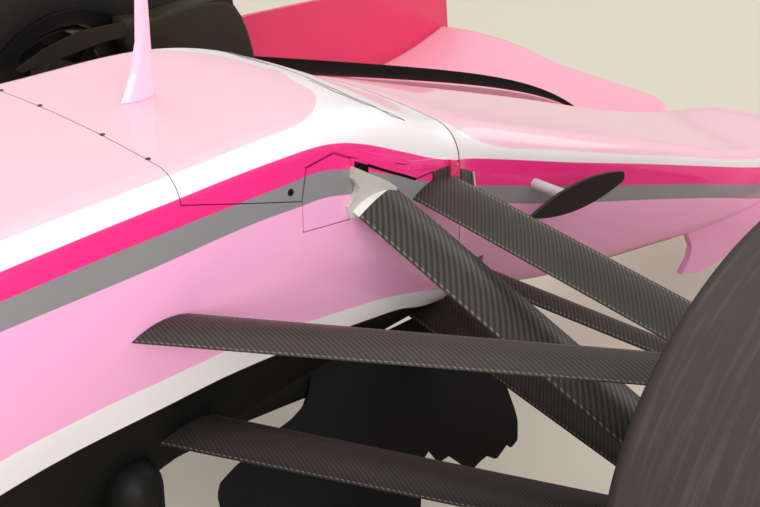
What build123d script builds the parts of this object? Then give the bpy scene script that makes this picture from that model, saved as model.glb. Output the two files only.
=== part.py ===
from build123d import *

import os
from math import atan2, cos, radians, sin

# Front half of an open wheel racing car, in millimetres. X points forwards, Y to the left, Z up.
# The frame's origin is the centre of the engine studs on the rear bulkhead. The tables below give
# places as a race engineer does: x from the front axle, y from the centre plane, z above the ground.

# Overall places
AXLE_X = 2150.0
MOUNT_HEIGHT = 330.0
OVERALL_WIDTH = 2000.0
TYRE_HALF = 158.0
TYRE_CENTRE_Y = OVERALL_WIDTH / 2 - TYRE_HALF
SEAT_GAP = 0.3
RUNNING_GAP = 0.05
LAP = 1.0
CUT_OVER = 5.0
BODY_REACH = 400.0

# Body shell
JOINT_X = 55.0
TIP_X = 1145.0
SHOULDER_CUT = 40.0
CHINE_CUT = 24.0
KEEL_CUT = 14.0
ARC_SHARE = 0.59
FULL_HEIGHT = 230.0
TUB_WALL = 25.0
SEAT_BACK_X = -1800.0
PANEL_THICK = 5.0
PANEL_GAP = 1.4

# Sections of tub and nose, rear to front, with the joint between them in both
# columns: x, keel y, keel z, chine y, chine z, flank y, flank z, shoulder y, shoulder z, crown z
JOINT_STATION = (JOINT_X, 118, 268, 152, 290, 168, 415, 161, 545, 553)
TUB_STATIONS = (
    (-AXLE_X, 245, 58, 318, 262, 330, 450, 228, 655, 712),
    (-2100, 245, 58, 320, 262, 333, 450, 234, 658, 715),
    (-1975, 243, 57, 324, 262, 338, 451, 247, 665, 720),
    (-1800, 240, 57, 328, 262, 343, 452, 262, 672, 725),
    (-1450, 230, 58, 324, 265, 343, 456, 276, 656, 696),
    (-1100, 208, 78, 285, 290, 310, 474, 254, 645, 670),
    (-800, 176, 142, 232, 322, 262, 486, 231, 645, 660),
    (-560, 156, 212, 198, 342, 226, 484, 216, 645, 654),
    (-360, 143, 247, 184, 340, 211, 475, 206, 643, 650),
    (-200, 131, 256, 172, 325, 198, 459, 196, 638, 645),
    (-70, 124, 262, 161, 309, 183, 440, 178, 603, 612),
    JOINT_STATION,
)
NOSE_STATIONS = (
    JOINT_STATION,
    (250, 124, 238, 155, 252, 165, 350, 158, 479, 487),
    (450, 132, 208, 158, 222, 165, 295, 156, 410, 417),
    (650, 134, 182, 156, 194, 162, 247, 153, 337, 343),
    (850, 120, 160, 141, 170, 148, 208, 140, 272, 278),
    (1010, 104, 152, 122, 160, 128, 190, 119, 241, 247),
    (1100, 84, 154, 100, 160, 104, 186, 96, 222, 227),
    (TIP_X, 52, 164, 64, 170, 68, 184, 62, 203, 207),
)

# Panels let into the tub's skin, as side views: x, z
COVER_OUTLINE = (
    (-432, 820), (-440, 610), (-262, 556), (-250, 595), (-202, 598), (-172, 582), (-50, 530), (54.5, 500),
    (54.5, 820),
)
HATCH_OUTLINE = ((-262, 556), (-250, 595), (-202, 598), (-172, 582), (-172, 502), (-262, 516))

# Sensor mast on the top cover, columns: x of rear and front edge, half thickness, z
MAST_SECTIONS = (
    (-368, -312, 9, 625), (-364, -314, 8.5, 652), (-349, -315, 6.5, 684), (-338, -315, 5.2, 722),
    (-334, -315, 4.6, 772), (-333, -316, 4.3, 826), (-333, -317, 4.2, 880),
)
MAST_HEAD_R = 4.0
MAST_HEAD_LENGTH = 70.0
MAST_HEAD_SET = 8.0

# Pylons that carry the wing below the nose, and the pods on its flanks
PYLON_OUTLINE = (
    (600, 240), (655, 178), (672, 148), (668, 128), (648, 104), (700, 90), (985, 96), (1010, 140), (1000, 190),
)
PYLON_Y = 128.0
PYLON_THICK = 11.0
POD_NOSE = (305, 430)
POD_TAIL = (103, 430)
POD_THICK = 40.0
POD_NOSE_R = 9.0
POD_END_Y = 252.0
POD_PLATE = 5.0
POD_STEM = (215, 417)
POD_STEM_R = 8.0

# Front wing: stations from the centre out
# columns: y, nose x, nose z, tail x, tail z, sag, thickness
WING_END_Y = 885.0
MAIN_STATIONS = (
    (225, 1075, 100, 890, 100, 0, 15),
    (262, 1098, 138, 908, 126, 2, 15),
    (305, 1118, 180, 930, 158, 4, 15),
    (430, 1130, 181, 900, 152, 10, 16),
    (600, 1132, 185, 860, 150, 18, 18),
    (760, 1130, 199, 820, 150, 20, 18),
    (WING_END_Y, 1118, 194, 790, 150, 20, 18),
)
# columns: y, x and z where the flaps start behind the main plane, x and z of the last tail
FLAP_STATIONS = (
    (305, 926, 168, 893, 218),
    (350, 918, 160, 845, 256),
    (450, 892, 152, 772, 280),
    (600, 852, 150, 648, 293),
    (750, 812, 150, 490, 310),
    (WING_END_Y, 780, 150, 400, 316),
)
FLAP_SPLITS = ((0.0, 0.42), (0.42, 0.76), (0.76, 1.0))
FLAP_SAG = 0.10
FLAP_SLOT = 0.035
FLAP_THICK = 0.07
FLAP_THICK_LEAST = 3.6
BLADE_NOSE_R = 3.0
BLADE_TAIL_HALF = 0.6
FLAP_NOSE_R = 1.2
ENDPLATE_THICK = 10.0
ENDPLATE_OUTLINE = (
    (400, 80), (385, 300), (400, 345), (560, 348), (760, 337), (1110, 290), (1132, 262), (1146, 110),
    (1120, 75), (420, 72),
)
FOOT_WIDTH = 46.0
FOOT_THICK = 6.0
FOOT_SET = 10.0

# Turning vanes under the chassis, each a bent plate: cross section y, z and side view x, z
VANE_BEND = ((122, 262), (176, 190), (262, 66))
VANE_THICK = 5.0
VANE_SKEW = 1.0
VANE_REACH = (60.0, 400.0)
VANE_SHAPES = (
    (
        (-142, 270), (-138, 150), (-120, 70), (-85, 58), (-60, 74), (-35, 60), (-10, 78), (15, 66), (40, 90),
        (62, 84), (88, 118), (104, 150), (98, 200), (60, 270),
    ),
    ((-352, 270), (-352, 74), (-180, 60), (-160, 120), (-176, 200), (-190, 270)),
)

# Floor tray under the tub
TRAY_OUTLINE = ((-AXLE_X, 250), (-900, 250), (-700, 170), (-560, 90), (-520, 0))
TRAY_LOW_Z = 36.0
TRAY_TOP_Z = 60.0
STAY_R = 7.0
STAY_X = -600.0
STAY_TOP_Z = 300.0
STAY_BITE = 5.0

# Cockpit opening, plan view of the left half: x, y
COCKPIT_OUTLINE = ((-1010, 110), (-1200, 205), (-1770, 205))
COCKPIT_CORNER_R = 55.0
COCKPIT_FLOOR_Z = 560.0
RIM_TOP_Z = 900.0
HEADREST_LOW_Z = 600.0
HEADREST_TOP_Z = 716.0
HEADREST_WIDTH = 62.0
HEADREST_DEPTH = 90.0
HEADREST_FRONT_X = -1480.0
# Driver's seat, side views x, z: the bucket, and the mouth cut open above it
SEAT_OUTLINE = (
    (-1776, 560), (-1640, 250), (-1560, 130), (-1380, 118), (-1180, 190), (-1196, 262), (-1420, 300),
    (-1560, 420), (-1700, 596),
)
SEAT_MOUTH = (
    (-1790, 640), (-1740, 548), (-1690, 430), (-1560, 290), (-1400, 220), (-1192, 224), (-1150, 300),
    (-1560, 640),
)
SEAT_LOW_Z = 122.0
SEAT_HALF = 182.0
SEAT_THICK = 8.0
RAIL_X = (-1540.0, -1400.0)
RAIL_Y = 120.0
RAIL_HALF = 12.0
RAIL_LOW_Z = 60.0

# Roll hoop with the air intake, and the mirrors
HOOP_SECTIONS = ((-2120, -1830, 150, 640), (-2110, -1845, 118, 800), (-2100, -1868, 96, 950))
INTAKE_HALF_Y = 74.0
INTAKE_HALF_Z = 52.0
INTAKE_Z = 872.0
INTAKE_START = 20.0
HOOP_FRONT_SHARE = 0.8
HOOP_ROUND_SHARE = 0.35
MIRROR_X = -1290.0
MIRROR_Y = (390.0, 540.0)
MIRROR_Z = 735.0
MIRROR_HEIGHT = 56.0
MIRROR_DEPTH = 52.0
MIRROR_GLASS_THICK = 3.0
MIRROR_STAY_R = 6.0
MIRROR_STAY_SET = 26.0
MIRROR_STAY_ROOT = (200.0, 610.0)
MIRROR_STAY_BITE = (10.0, 6.0)
MIRROR_ROUND_SHARE = 0.6
MIRROR_RECESS = 9.0
MIRROR_RIM = 6.0

# Engine studs on the rear bulkhead
STUD_R = 6.0
STUD_LENGTH = 40.0
STUD_SPACING_Y = 380.0
STUD_SPACING_Z = 420.0

# Kingpin: the two ball joints of the left upright, set in from the tyre's middle, mirrored for the right
UPPER_JOINT = (-17.0, TYRE_CENTRE_Y - 117.0, 433.0)
LOWER_JOINT = (-10.0, TYRE_CENTRE_Y - 105.0, 205.0)
JOINT_PIN_R = 8.0
EYE_R = 20.0
EYE_HEIGHT = 18.0
CHEEK_R = 17.0
CHEEK_THICK = 7.0
CHEEK_GAP = 2.0
CHEEK_SWING = 7.0
CHEEK_ROOM = 30.0
WEB_GAP = 4.0
SPINE_REACH = 10.0
BORE_REACH = 60.0

# Wishbone legs, root to ball joint: chord along x and thickness of the flat carbon section
LEG_CHORD = 88.0
LEG_THICK = 19.0
LEG_NOSE_R = 3.0
LEG_TIP_CHORD = 34.0
LEG_TIP_THICK = 16.5
LEG_WAIST_CHORD = 40.0
LEG_TAPER = 0.82
LEG_WAIST = 0.88
ROOT_REACH = 20.0
# columns: root x, root y, root z
UPPER_ROOTS = ((-7, 184, 485), (-489, 215, 479))
LOWER_ROOTS = ((38, 141, 273), (-424, 174, 297))

# Pushrod
PUSHROD_TOP = (-142.0, 192.0, 524.0)
PUSHROD_FOOT = (-31.0, TYRE_CENTRE_Y - 144.0, 244.0)
PUSHROD_CHORD = 82.0
PUSHROD_THICK = 26.0
PUSHROD_START = -0.05
PUSHROD_END = 0.95
# Seam where the carbon meets the metal fitting: distance along x from the rod's middle, share of its length
PUSHROD_SEAM = ((-41, 0.0445), (41, 0.009))
SEAM_REACH = 60.0
# Eye plate of the fitting on the tub's flank, side view: x, z
EYE_PLATE = (
    (-187, 524), (-168, 545), (-178, 559), (-174, 573), (-161, 565), (-143, 553), (-121, 540), (-104, 526),
    (-106, 508), (-184, 508),
)
EYE_PLATE_Y = (168.0, 206.0)
LUG_X = (-46.0, -18.0)
LUG_THICK = 14.0
LUG_Z = (210.0, 264.0)

# Axle, brake and wheel: radii, and distances from the car's centre plane
AXLE_Z = 338.0
TYRE_R = 335.0
TYRE_WALL = 12.0
TYRE_WALL_R = TYRE_R - 90.0
TYRE_SHOULDER = (TYRE_HALF - 22.0, TYRE_R - 23.0)
TYRE_EDGE = (TYRE_HALF - 40.0, TYRE_R - 8.0)
TREAD_DRAW = 0.8
SHOULDER_DRAW = 0.5
BEAD_R = 166.0
FLANGE_R = 190.0
FLANGE_HALF = TYRE_HALF - 3.0
FLANGE_THICK = 6.0
FLANGE_LIP = 4.0
FLANGE_SHEET = 2.5
RIM_THICK = 5.0
RIM_BITE = 2.0
BEARING_R = 30.0
HOUSING_R = 52.0
HOUSING_IN_Y = TYRE_CENTRE_Y - 98.0
HOUSING_OUT_Y = TYRE_CENTRE_Y - 72.0
DISC_R = 132.0
DISC_BORE_R = 70.0
HUB_FLANGE_R = DISC_BORE_R + 12.0
DISC_IN_Y = TYRE_CENTRE_Y - 66.0
DISC_THICK = 24.0
FLANGE_PLATE = 8.0
HUB_NOSE_R = 25.0
HUB_STEP_Y = TYRE_CENTRE_Y + 63.0
HUB_END_Y = TYRE_CENTRE_Y + 130.0
SHAFT_PROUD = 6.0
STEP_INSET = 10.0
WHEEL_BOSS_R = 58.0
WHEEL_BOSS_THICK = 38.0
SPOKE_COUNT = 10
SPOKE_WIDTH = 20.0
SPOKE_THICK = 18.0
SPOKE_Y = TYRE_CENTRE_Y + 78.0
SPOKE_BITE = 8.0
NUT_R = 44.0
NUT_THICK = 26.0
DRUM_R = 151.0
DRUM_WALL = 3.0
DRUM_IN_Y = TYRE_CENTRE_Y - 136.0
DRUM_OUT_Y = TYRE_CENTRE_Y - 36.0
# Brake duct, side views x, z: the scoop, its open mouth, and the plate that runs back over the legs
SCOOP_Y = (TYRE_CENTRE_Y - 206.0, TYRE_CENTRE_Y - 170.0)
SCOOP_OUTLINE = ((176, 497), (300, 497), (318, 488), (334, 390), (326, 250), (300, 216), (210, 216), (176, 260))
SCOOP_WALL = 4.0
MOUTH_X = (300.0, 360.0)
MOUTH_Z = (240.0, 470.0)
DUCT_PLATE = ((-128, 470), (-75, 490), (-3, 505), (80, 501), (182, 497), (182, 472), (40, 476), (-120, 462))
THROAT_X = (126.0, 182.0)
THROAT_Z = (376.0, 420.0)
ELBOW_X = (84.0, 136.0)
ELBOW_REACH = 14.0
DRUM_WINDOW_X = (-128.0, 92.0)
DRUM_WINDOW_Z = (170.0, 240.0)
STRUT_ANGLES = (-45.0, 45.0, 135.0)
STRUT_WIDTH = 14.0
STRUT_INSET = 5.0
WINDOW_REACH = 2.0
CALLIPER_ARC = 52.0
CALLIPER_GAP = 5.5
CALLIPER_WALL = 22.0
CALLIPER_BRIDGE = 8.0
CALLIPER_IN_R = HUB_FLANGE_R + 2 * CALLIPER_GAP
BRACKET_BITE = 6.0

# Steering
RACK_X = 95.0
RACK_Z = 318.0
RACK_R = 11.0
RACK_HALF = 150.0
HOUSING_HALF = 105.0
HOUSING_WALL = 8.0
RACK_FOOT_WIDTH = 20.0
RACK_FOOT_PROUD = 4.0
ROD_CHORD = 40.0
ROD_THICK = 16.0
ROD_NOSE_R = 2.0
NECK_REACH = 30.0
NECK_INSET = 1.0
ARM_EYE_R = 14.0
SLOT_GAP = 7.0
SLOT_HALF = 220.0
BAY_REACH = 34.0
BAY_HALF = 132.0
BAY_BELOW = 30.0
BAY_ABOVE = 34.0
ARM_JOINT = (RACK_X, TYRE_CENTRE_Y - 142.0, 336.0)
ARM_DROP = 8.0
# Steering arm in plan: x of its root, its knee as x and distance in from the housing's face, and its end
ARM_ROOT_X = (20.0, 70.0)
ARM_KNEE = (30.0, 28.0)
ARM_NECK = 8.0
ARM_TIP = 14.0
ARM_HALF = 12.0
ARM_THICK = 14.0
ARM_BITE = 2.0
COLUMN_R = 10.0
COLUMN_SLOPE = radians(12.0)
WHEEL_HUB = (-1190.0, 0.0, 600.0)
WHEEL_WIDTH = 240.0
WHEEL_HEIGHT = 160.0
WHEEL_MODULE_THICK = 32.0
GRIP_R = 17.0
GRIP_SHARE = 0.42
WHEEL_CORNER_R = 30.0
COLUMN_LENGTH = 300.0
DASH_X = -930.0
DASH_THICK = 12.0
DASH_HALF = 300.0
DASH_LOW_Z = 500.0
DASH_TOP_Z = 640.0
BUSH_WALL = 10.0
BUSH_LENGTH = 50.0
BUSH_SET = 20.0
BUSH_BORE = 120.0


def at(x, y, z):
    """Point of the frame for a place from the front axle, the centre plane and the ground."""
    return Vector(AXLE_X + x, y, z - MOUNT_HEIGHT)


def box(x_low, x_high, y_low, y_high, z_low, z_high):
    """Box between two corners given from the axle and the ground."""
    plane = Plane(origin=at(x_low, y_low, z_low))
    return Solid.make_box(x_high - x_low, y_high - y_low, z_high - z_low, plane)


def side_face(points, y):
    """Flat face at y, upright along x, from side view points."""
    corners = [at(x, y, z) for x, z in points]
    return Face(Wire.make_polygon(corners, close=True))


def side_prism(points, y_low, y_high):
    """Side view outline drawn through the car from y_low to y_high."""
    return Solid.extrude(side_face(points, y_low), Vector(0, y_high - y_low, 0))


def plan_prism(points, z_low, z_high):
    """Plan view outline drawn upwards from z_low to z_high."""
    corners = [at(x, y, z_low) for x, y in points]
    face = Face(Wire.make_polygon(corners, close=True))
    return Solid.extrude(face, Vector(0, 0, z_high - z_low))


def rod(start, end, radius):
    """Round bar between two points of the frame."""
    start = Vector(*start)
    run = Vector(*end) - start
    return Solid.make_cylinder(radius, run.length, Plane(origin=start, z_dir=run))


def both_sides(solid):
    """A solid of the left side and its mirror image on the right."""
    return [solid, mirror(solid, about=Plane.XZ)]


def as_solid(shape):
    """The one solid of a boolean's result."""
    return shape.solids().sort_by(SortBy.VOLUME)[-1]


def write(name, solids):
    """Write one node's solids to its STEP file."""
    flat = []
    for solid in solids:
        flat.extend(solid.solids())
    node = flat[0] if len(flat) == 1 else Compound(children=flat)
    node.label = name
    export_step(node, "parts/" + name + ".step")


def rounded_corner(before, corner, after, cut):
    """Start, middle and end of the arc that rounds a corner of a section."""
    start = corner + (before - corner).normalized() * cut
    end = corner + (after - corner).normalized() * cut
    middle = corner + ((start + end) * 0.5 - corner) * ARC_SHARE
    return start, middle, end


def body_wire(station, inset):
    """Cross section of the body at one station, drawn in by the inset."""
    x, keel_y, keel_z, chine_y, chine_z, flank_y, flank_z, shoulder_y, shoulder_z, crown_z = station
    size = min(1.0, (shoulder_z - keel_z) / FULL_HEIGHT)
    crown = at(x, 0, crown_z - inset)

    def half(side):
        keel = at(x, side * (keel_y - inset), keel_z + inset)
        chine = at(x, side * (chine_y - inset), chine_z)
        flank = at(x, side * (flank_y - inset), flank_z)
        shoulder = at(x, side * (shoulder_y - inset), shoulder_z - inset)
        middle = at(x, 0, keel_z + inset)
        return (
            rounded_corner(middle, keel, chine, KEEL_CUT * size),
            rounded_corner(keel, chine, flank, CHINE_CUT * size),
            flank,
            rounded_corner(flank, shoulder, crown, SHOULDER_CUT * size),
        )

    edges = []
    left_keel, left_chine, left_flank, left_shoulder = half(1)
    right_keel, right_chine, right_flank, right_shoulder = half(-1)
    edges.append(Edge.make_line(right_keel[0], left_keel[0]))
    edges.append(Edge.make_three_point_arc(*left_keel))
    edges.append(Edge.make_line(left_keel[2], left_chine[0]))
    edges.append(Edge.make_three_point_arc(*left_chine))
    edges.append(Edge.make_three_point_arc(left_chine[2], left_flank, left_shoulder[0]))
    edges.append(Edge.make_three_point_arc(*left_shoulder))
    edges.append(Edge.make_three_point_arc(left_shoulder[2], crown, right_shoulder[2]))
    edges.append(Edge.make_three_point_arc(*reversed(right_shoulder)))
    edges.append(Edge.make_three_point_arc(right_shoulder[0], right_flank, right_chine[2]))
    edges.append(Edge.make_three_point_arc(*reversed(right_chine)))
    edges.append(Edge.make_line(right_chine[0], right_keel[2]))
    edges.append(Edge.make_three_point_arc(*reversed(right_keel)))
    return Wire(edges)


def shell(stations, inset=0.0):
    """Smooth shell through body stations, drawn in by the inset."""
    return Solid.make_loft([body_wire(row, inset) for row in stations])


def cavity():
    """Space inside the tub from the front wall to the seat back, as straight panels."""
    wires = []
    rows = [row for row in TUB_STATIONS if SEAT_BACK_X <= row[0] < JOINT_X]
    for row in rows:
        x, keel_y, keel_z, chine_y, chine_z, flank_y, flank_z, shoulder_y, shoulder_z, crown_z = row
        outline = (
            (keel_y, keel_z + TUB_WALL), (chine_y - TUB_WALL, chine_z), (flank_y - TUB_WALL, flank_z),
            (shoulder_y - TUB_WALL, shoulder_z - TUB_WALL),
        )
        left = [at(x, y, z) for y, z in outline]
        right = [at(x, -y, z) for y, z in reversed(outline)]
        wires.append(Wire.make_polygon(left + right, close=True))
    return Solid.make_loft(wires, True)


def panel_prism(points, shrink, y_low, y_high):
    """Side view outline of a panel, drawn in on every edge, through the car from y_low to y_high."""
    face = side_face(points, y_low)
    if shrink:
        face = Face(face.outer_wire().offset_2d(-shrink, Kind.INTERSECTION))
    return Solid.extrude(face, Vector(0, y_high - y_low, 0))


def skin_panel(points, outer, inner, y_low, y_high):
    """Panel cut from the skin between the outer and the inner shell."""
    prism = panel_prism(points, PANEL_GAP, y_low, y_high)
    lid = as_solid(outer.intersect(prism))
    core = as_solid(inner.intersect(prism))
    return as_solid(lid.cut(core))


def cockpit_wire(shrink, z):
    """Rounded outline of the cockpit opening at one height, drawn in by shrink."""
    left = [at(x, y - shrink, z) for x, y in COCKPIT_OUTLINE]
    left[0] -= Vector(shrink, 0, 0)
    left[-1] += Vector(shrink, 0, 0)
    right = [Vector(p.X, -p.Y, p.Z) for p in reversed(left)]
    face = Face(Wire.make_polygon(left + right, close=True))
    return face.fillet_2d(COCKPIT_CORNER_R - shrink, face.vertices())


def tub(outer, room):
    """Survival cell: walls, cockpit opening and the pockets where the panels sit."""
    piece = outer.cut(room)
    opening = Solid.extrude(cockpit_wire(0, COCKPIT_FLOOR_Z), Vector(0, 0, RIM_TOP_Z - COCKPIT_FLOOR_Z))
    piece = as_solid(piece.cut(opening))
    floor = shell(TUB_STATIONS, PANEL_THICK + SEAT_GAP)
    pockets = (
        (COVER_OUTLINE, -BODY_REACH, BODY_REACH),
        (HATCH_OUTLINE, 0, BODY_REACH),
        (HATCH_OUTLINE, -BODY_REACH, 0),
    )
    for outline, y_low, y_high in pockets:
        prism = panel_prism(outline, 0, y_low, y_high)
        pocket = prism.cut(floor)
        piece = as_solid(piece.cut(pocket))
    return piece


def mast(clear):
    """Slim sensor mast that stands on the top cover, with its probe."""
    wires = []
    for rear, front, half, z in MAST_SECTIONS:
        middle = (rear + front) / 2
        left = Edge.make_three_point_arc(at(front, 0, z), at(middle, half, z), at(rear, 0, z))
        right = Edge.make_three_point_arc(at(rear, 0, z), at(middle, -half, z), at(front, 0, z))
        wires.append(Wire([left, right]))
    fin = Solid.make_loft(wires, True)
    top = MAST_SECTIONS[-1]
    head_z = top[3] - MAST_HEAD_R
    head_x = top[0] + MAST_HEAD_SET
    head = rod(at(head_x, 0, head_z), at(head_x + MAST_HEAD_LENGTH, 0, head_z), MAST_HEAD_R)
    return as_solid(fin.cut(clear).fuse(head))


def nose_cone(outer, wing_clear):
    """Nose cone with its two pylons and the bay for the steering rack."""
    piece = outer
    for side in (1, -1):
        y = side * PYLON_Y
        plate = side_prism(PYLON_OUTLINE, y - PYLON_THICK / 2, y + PYLON_THICK / 2)
        piece = piece.fuse(plate.cut(wing_clear))
    bay = box(JOINT_X, RACK_X + BAY_REACH, -BAY_HALF, BAY_HALF, RACK_Z - BAY_BELOW, RACK_Z + BAY_ABOVE)
    slot = box(RACK_X - ROD_CHORD / 2 - SLOT_GAP, RACK_X + ROD_CHORD / 2 + SLOT_GAP, -SLOT_HALF, SLOT_HALF,
               RACK_Z - ROD_THICK / 2 - SLOT_GAP, RACK_Z + ROD_THICK / 2 + SLOT_GAP)
    return as_solid(piece.cut(bay).cut(slot))


def nose_pods(clear):
    """Leaf shaped pods, each a thin plate on a stem from the nose's flank."""
    face = blade_face(POD_END_Y, POD_NOSE, POD_TAIL, 0.0, POD_THICK, POD_NOSE_R)
    plate = Solid.extrude(face, Vector(0, -POD_PLATE, 0))
    stem_x, stem_z = POD_STEM
    stem = rod(at(stem_x, 0, stem_z), at(stem_x, POD_END_Y - POD_PLATE / 2, stem_z), POD_STEM_R)
    return both_sides(as_solid(plate.fuse(stem.cut(clear))))


def blade_face(y, nose, tail, sag, thick, nose_r):
    """Wing section in a side plane: blunt nose, fine tail, sagging below its chord."""
    nose_x, nose_z = nose
    tail_x, tail_z = tail
    angle = atan2(tail_z - nose_z, tail_x - nose_x)
    along = (cos(angle), sin(angle))
    up = (sin(angle), -cos(angle))
    if up[1] < 0:
        up = (-up[0], -up[1])
    middle = ((nose_x + tail_x) / 2, (nose_z + tail_z) / 2)

    def point(base, forward, rise):
        return at(base[0] + along[0] * forward + up[0] * rise, y, base[1] + along[1] * forward + up[1] * rise)

    nose_top = point(nose, nose_r, nose_r)
    nose_low = point(nose, nose_r, -nose_r)
    tail_top = point(tail, 0, BLADE_TAIL_HALF)
    tail_low = point(tail, 0, -BLADE_TAIL_HALF)
    edges = [
        Edge.make_three_point_arc(nose_low, at(nose_x, y, nose_z), nose_top),
        Edge.make_three_point_arc(nose_top, point(middle, 0, thick / 2 - sag), tail_top),
        Edge.make_line(tail_top, tail_low),
        Edge.make_three_point_arc(tail_low, point(middle, 0, -thick / 2 - sag), nose_low),
    ]
    return Face(Wire(edges))


def kingpin_plane(joint):
    """Plane at a ball joint of the left side: Z up the kingpin, X forwards, Y outboard."""
    up = (at(*UPPER_JOINT) - at(*LOWER_JOINT)).normalized()
    outboard = up.cross(Vector(1, 0, 0)).normalized()
    return Plane(origin=at(*joint), x_dir=outboard.cross(up), z_dir=up)


def plane_box(plane, x_low, x_high, y_low, y_high, z_low, z_high):
    """Box between two corners given in a plane's own axes."""
    corner = plane.from_local_coords(Vector(x_low, y_low, z_low))
    base = Plane(origin=corner, x_dir=plane.x_dir, z_dir=plane.z_dir)
    return Solid.make_box(x_high - x_low, y_high - y_low, z_high - z_low, base)


def disc(plane, radius, low, high):
    """Round disc about a plane's Z between two heights."""
    return Solid.make_cylinder(radius, high - low, plane.offset(low))


def leg(root, joint, chord, thick):
    """One flat carbon leg of a wishbone, from inside the chassis to its slim end at the ball joint."""
    root_v = Vector(*root)
    joint_v = Vector(*joint)
    run = joint_v - root_v
    inner = root_v - run.normalized() * ROOT_REACH
    taper = root_v + run * LEG_TAPER
    waist = root_v + run * LEG_WAIST

    def section(centre, width, height):
        nose = (centre.X + width / 2, centre.Z)
        tail = (centre.X - width / 2, centre.Z)
        return blade_face(centre.Y, nose, tail, 0.0, height, LEG_NOSE_R).outer_wire()

    straight = Solid.make_loft([section(inner, chord, thick), section(taper, chord, thick)], True)
    tip = Solid.make_loft([
        section(taper, chord, thick), section(waist, LEG_WAIST_CHORD, LEG_TIP_THICK),
        section(joint_v, LEG_TIP_CHORD, LEG_TIP_THICK),
    ], True)
    return straight.fuse(tip)


def wishbone(roots, joint, body):
    """Left wishbone: two legs that meet at the eye round the kingpin, trimmed at the body's skin."""
    plane = kingpin_plane(joint)
    half = EYE_HEIGHT / 2
    arms = leg(roots[0], joint, LEG_CHORD, LEG_THICK).fuse(leg(roots[1], joint, LEG_CHORD, LEG_THICK))
    arms = arms.fuse(disc(plane, EYE_R, -half, half))
    for low, high in ((half, half + CHEEK_ROOM), (-half - CHEEK_ROOM, -half)):
        arms = arms.cut(disc(plane, CHEEK_R + CHEEK_SWING, low, high))
    arms = arms.cut(disc(plane, JOINT_PIN_R + RUNNING_GAP, -CHEEK_ROOM, CHEEK_ROOM))
    return as_solid(arms.cut(body))


def pushrod_piece(start, end):
    """Stretch of the left pushrod between two shares of its length."""
    top = Vector(*PUSHROD_TOP)
    run = Vector(*PUSHROD_FOOT) - top

    def section(share):
        centre = top + run * share
        nose = (centre.X + PUSHROD_CHORD / 2, centre.Z)
        tail = (centre.X - PUSHROD_CHORD / 2, centre.Z)
        return blade_face(centre.Y, nose, tail, 0.0, PUSHROD_THICK, LEG_NOSE_R).outer_wire()

    return Solid.make_loft([section(start), section(end)], True)


def pushrod_root():
    """Block over all of the left pushrod above the slanted seam of its carbon."""
    top = Vector(*PUSHROD_TOP)
    run = Vector(*PUSHROD_FOOT) - top
    (tail_x, tail_share), (nose_x, nose_share) = PUSHROD_SEAM
    slope = (nose_share - tail_share) / (nose_x - tail_x)
    corners = [
        (-SEAM_REACH, 2 * PUSHROD_START), (-SEAM_REACH, tail_share + slope * (-SEAM_REACH - tail_x)),
        (SEAM_REACH, nose_share + slope * (SEAM_REACH - nose_x)), (SEAM_REACH, 2 * PUSHROD_START),
    ]
    across = run.cross(Vector(1, 0, 0)).normalized() * SEAM_REACH
    points = [at(*(top + run * share)) + Vector(x, 0, 0) - across for x, share in corners]
    return Solid.extrude(Face(Wire.make_polygon(points, close=True)), across * 2)


def pushrod_fitting(carbon, clear):
    """Metal fitting that holds the top of the left pushrod's carbon, with its eye plate on the tub's flank."""
    socket = as_solid(pushrod_piece(PUSHROD_START, PUSHROD_END).intersect(pushrod_root()))
    return as_solid(socket.fuse(side_prism(EYE_PLATE, *EYE_PLATE_Y)).cut(clear).cut(carbon))


def lower_wishbone(body):
    """Left lower wishbone with the lug under the pushrod's foot."""
    arms = wishbone(LOWER_ROOTS, LOWER_JOINT, body)
    foot_y = PUSHROD_TOP[1] + (PUSHROD_FOOT[1] - PUSHROD_TOP[1]) * PUSHROD_END
    lug = box(*LUG_X, foot_y + SEAT_GAP, foot_y + LUG_THICK, *LUG_Z)
    return as_solid(arms.fuse(lug))


def wheel_revolve(points):
    """Ring about the left wheel's axle from a closed outline of y and radius."""
    corners = [at(0, y, AXLE_Z + r) for y, r in points]
    face = Face(Wire.make_polygon(corners, close=True))
    return Solid.revolve(face, 360, Axis(at(0, 0, AXLE_Z), (0, 1, 0)))


def wheel_ring(radius_out, radius_in, y_low, y_high):
    """Plain ring about the left wheel's axle."""
    plane = Plane(origin=at(0, y_low, AXLE_Z), z_dir=(0, 1, 0))
    ring = Solid.make_cylinder(radius_out, y_high - y_low, plane)
    if radius_in:
        ring = ring.cut(Solid.make_cylinder(radius_in, y_high - y_low, plane))
    return ring


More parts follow.
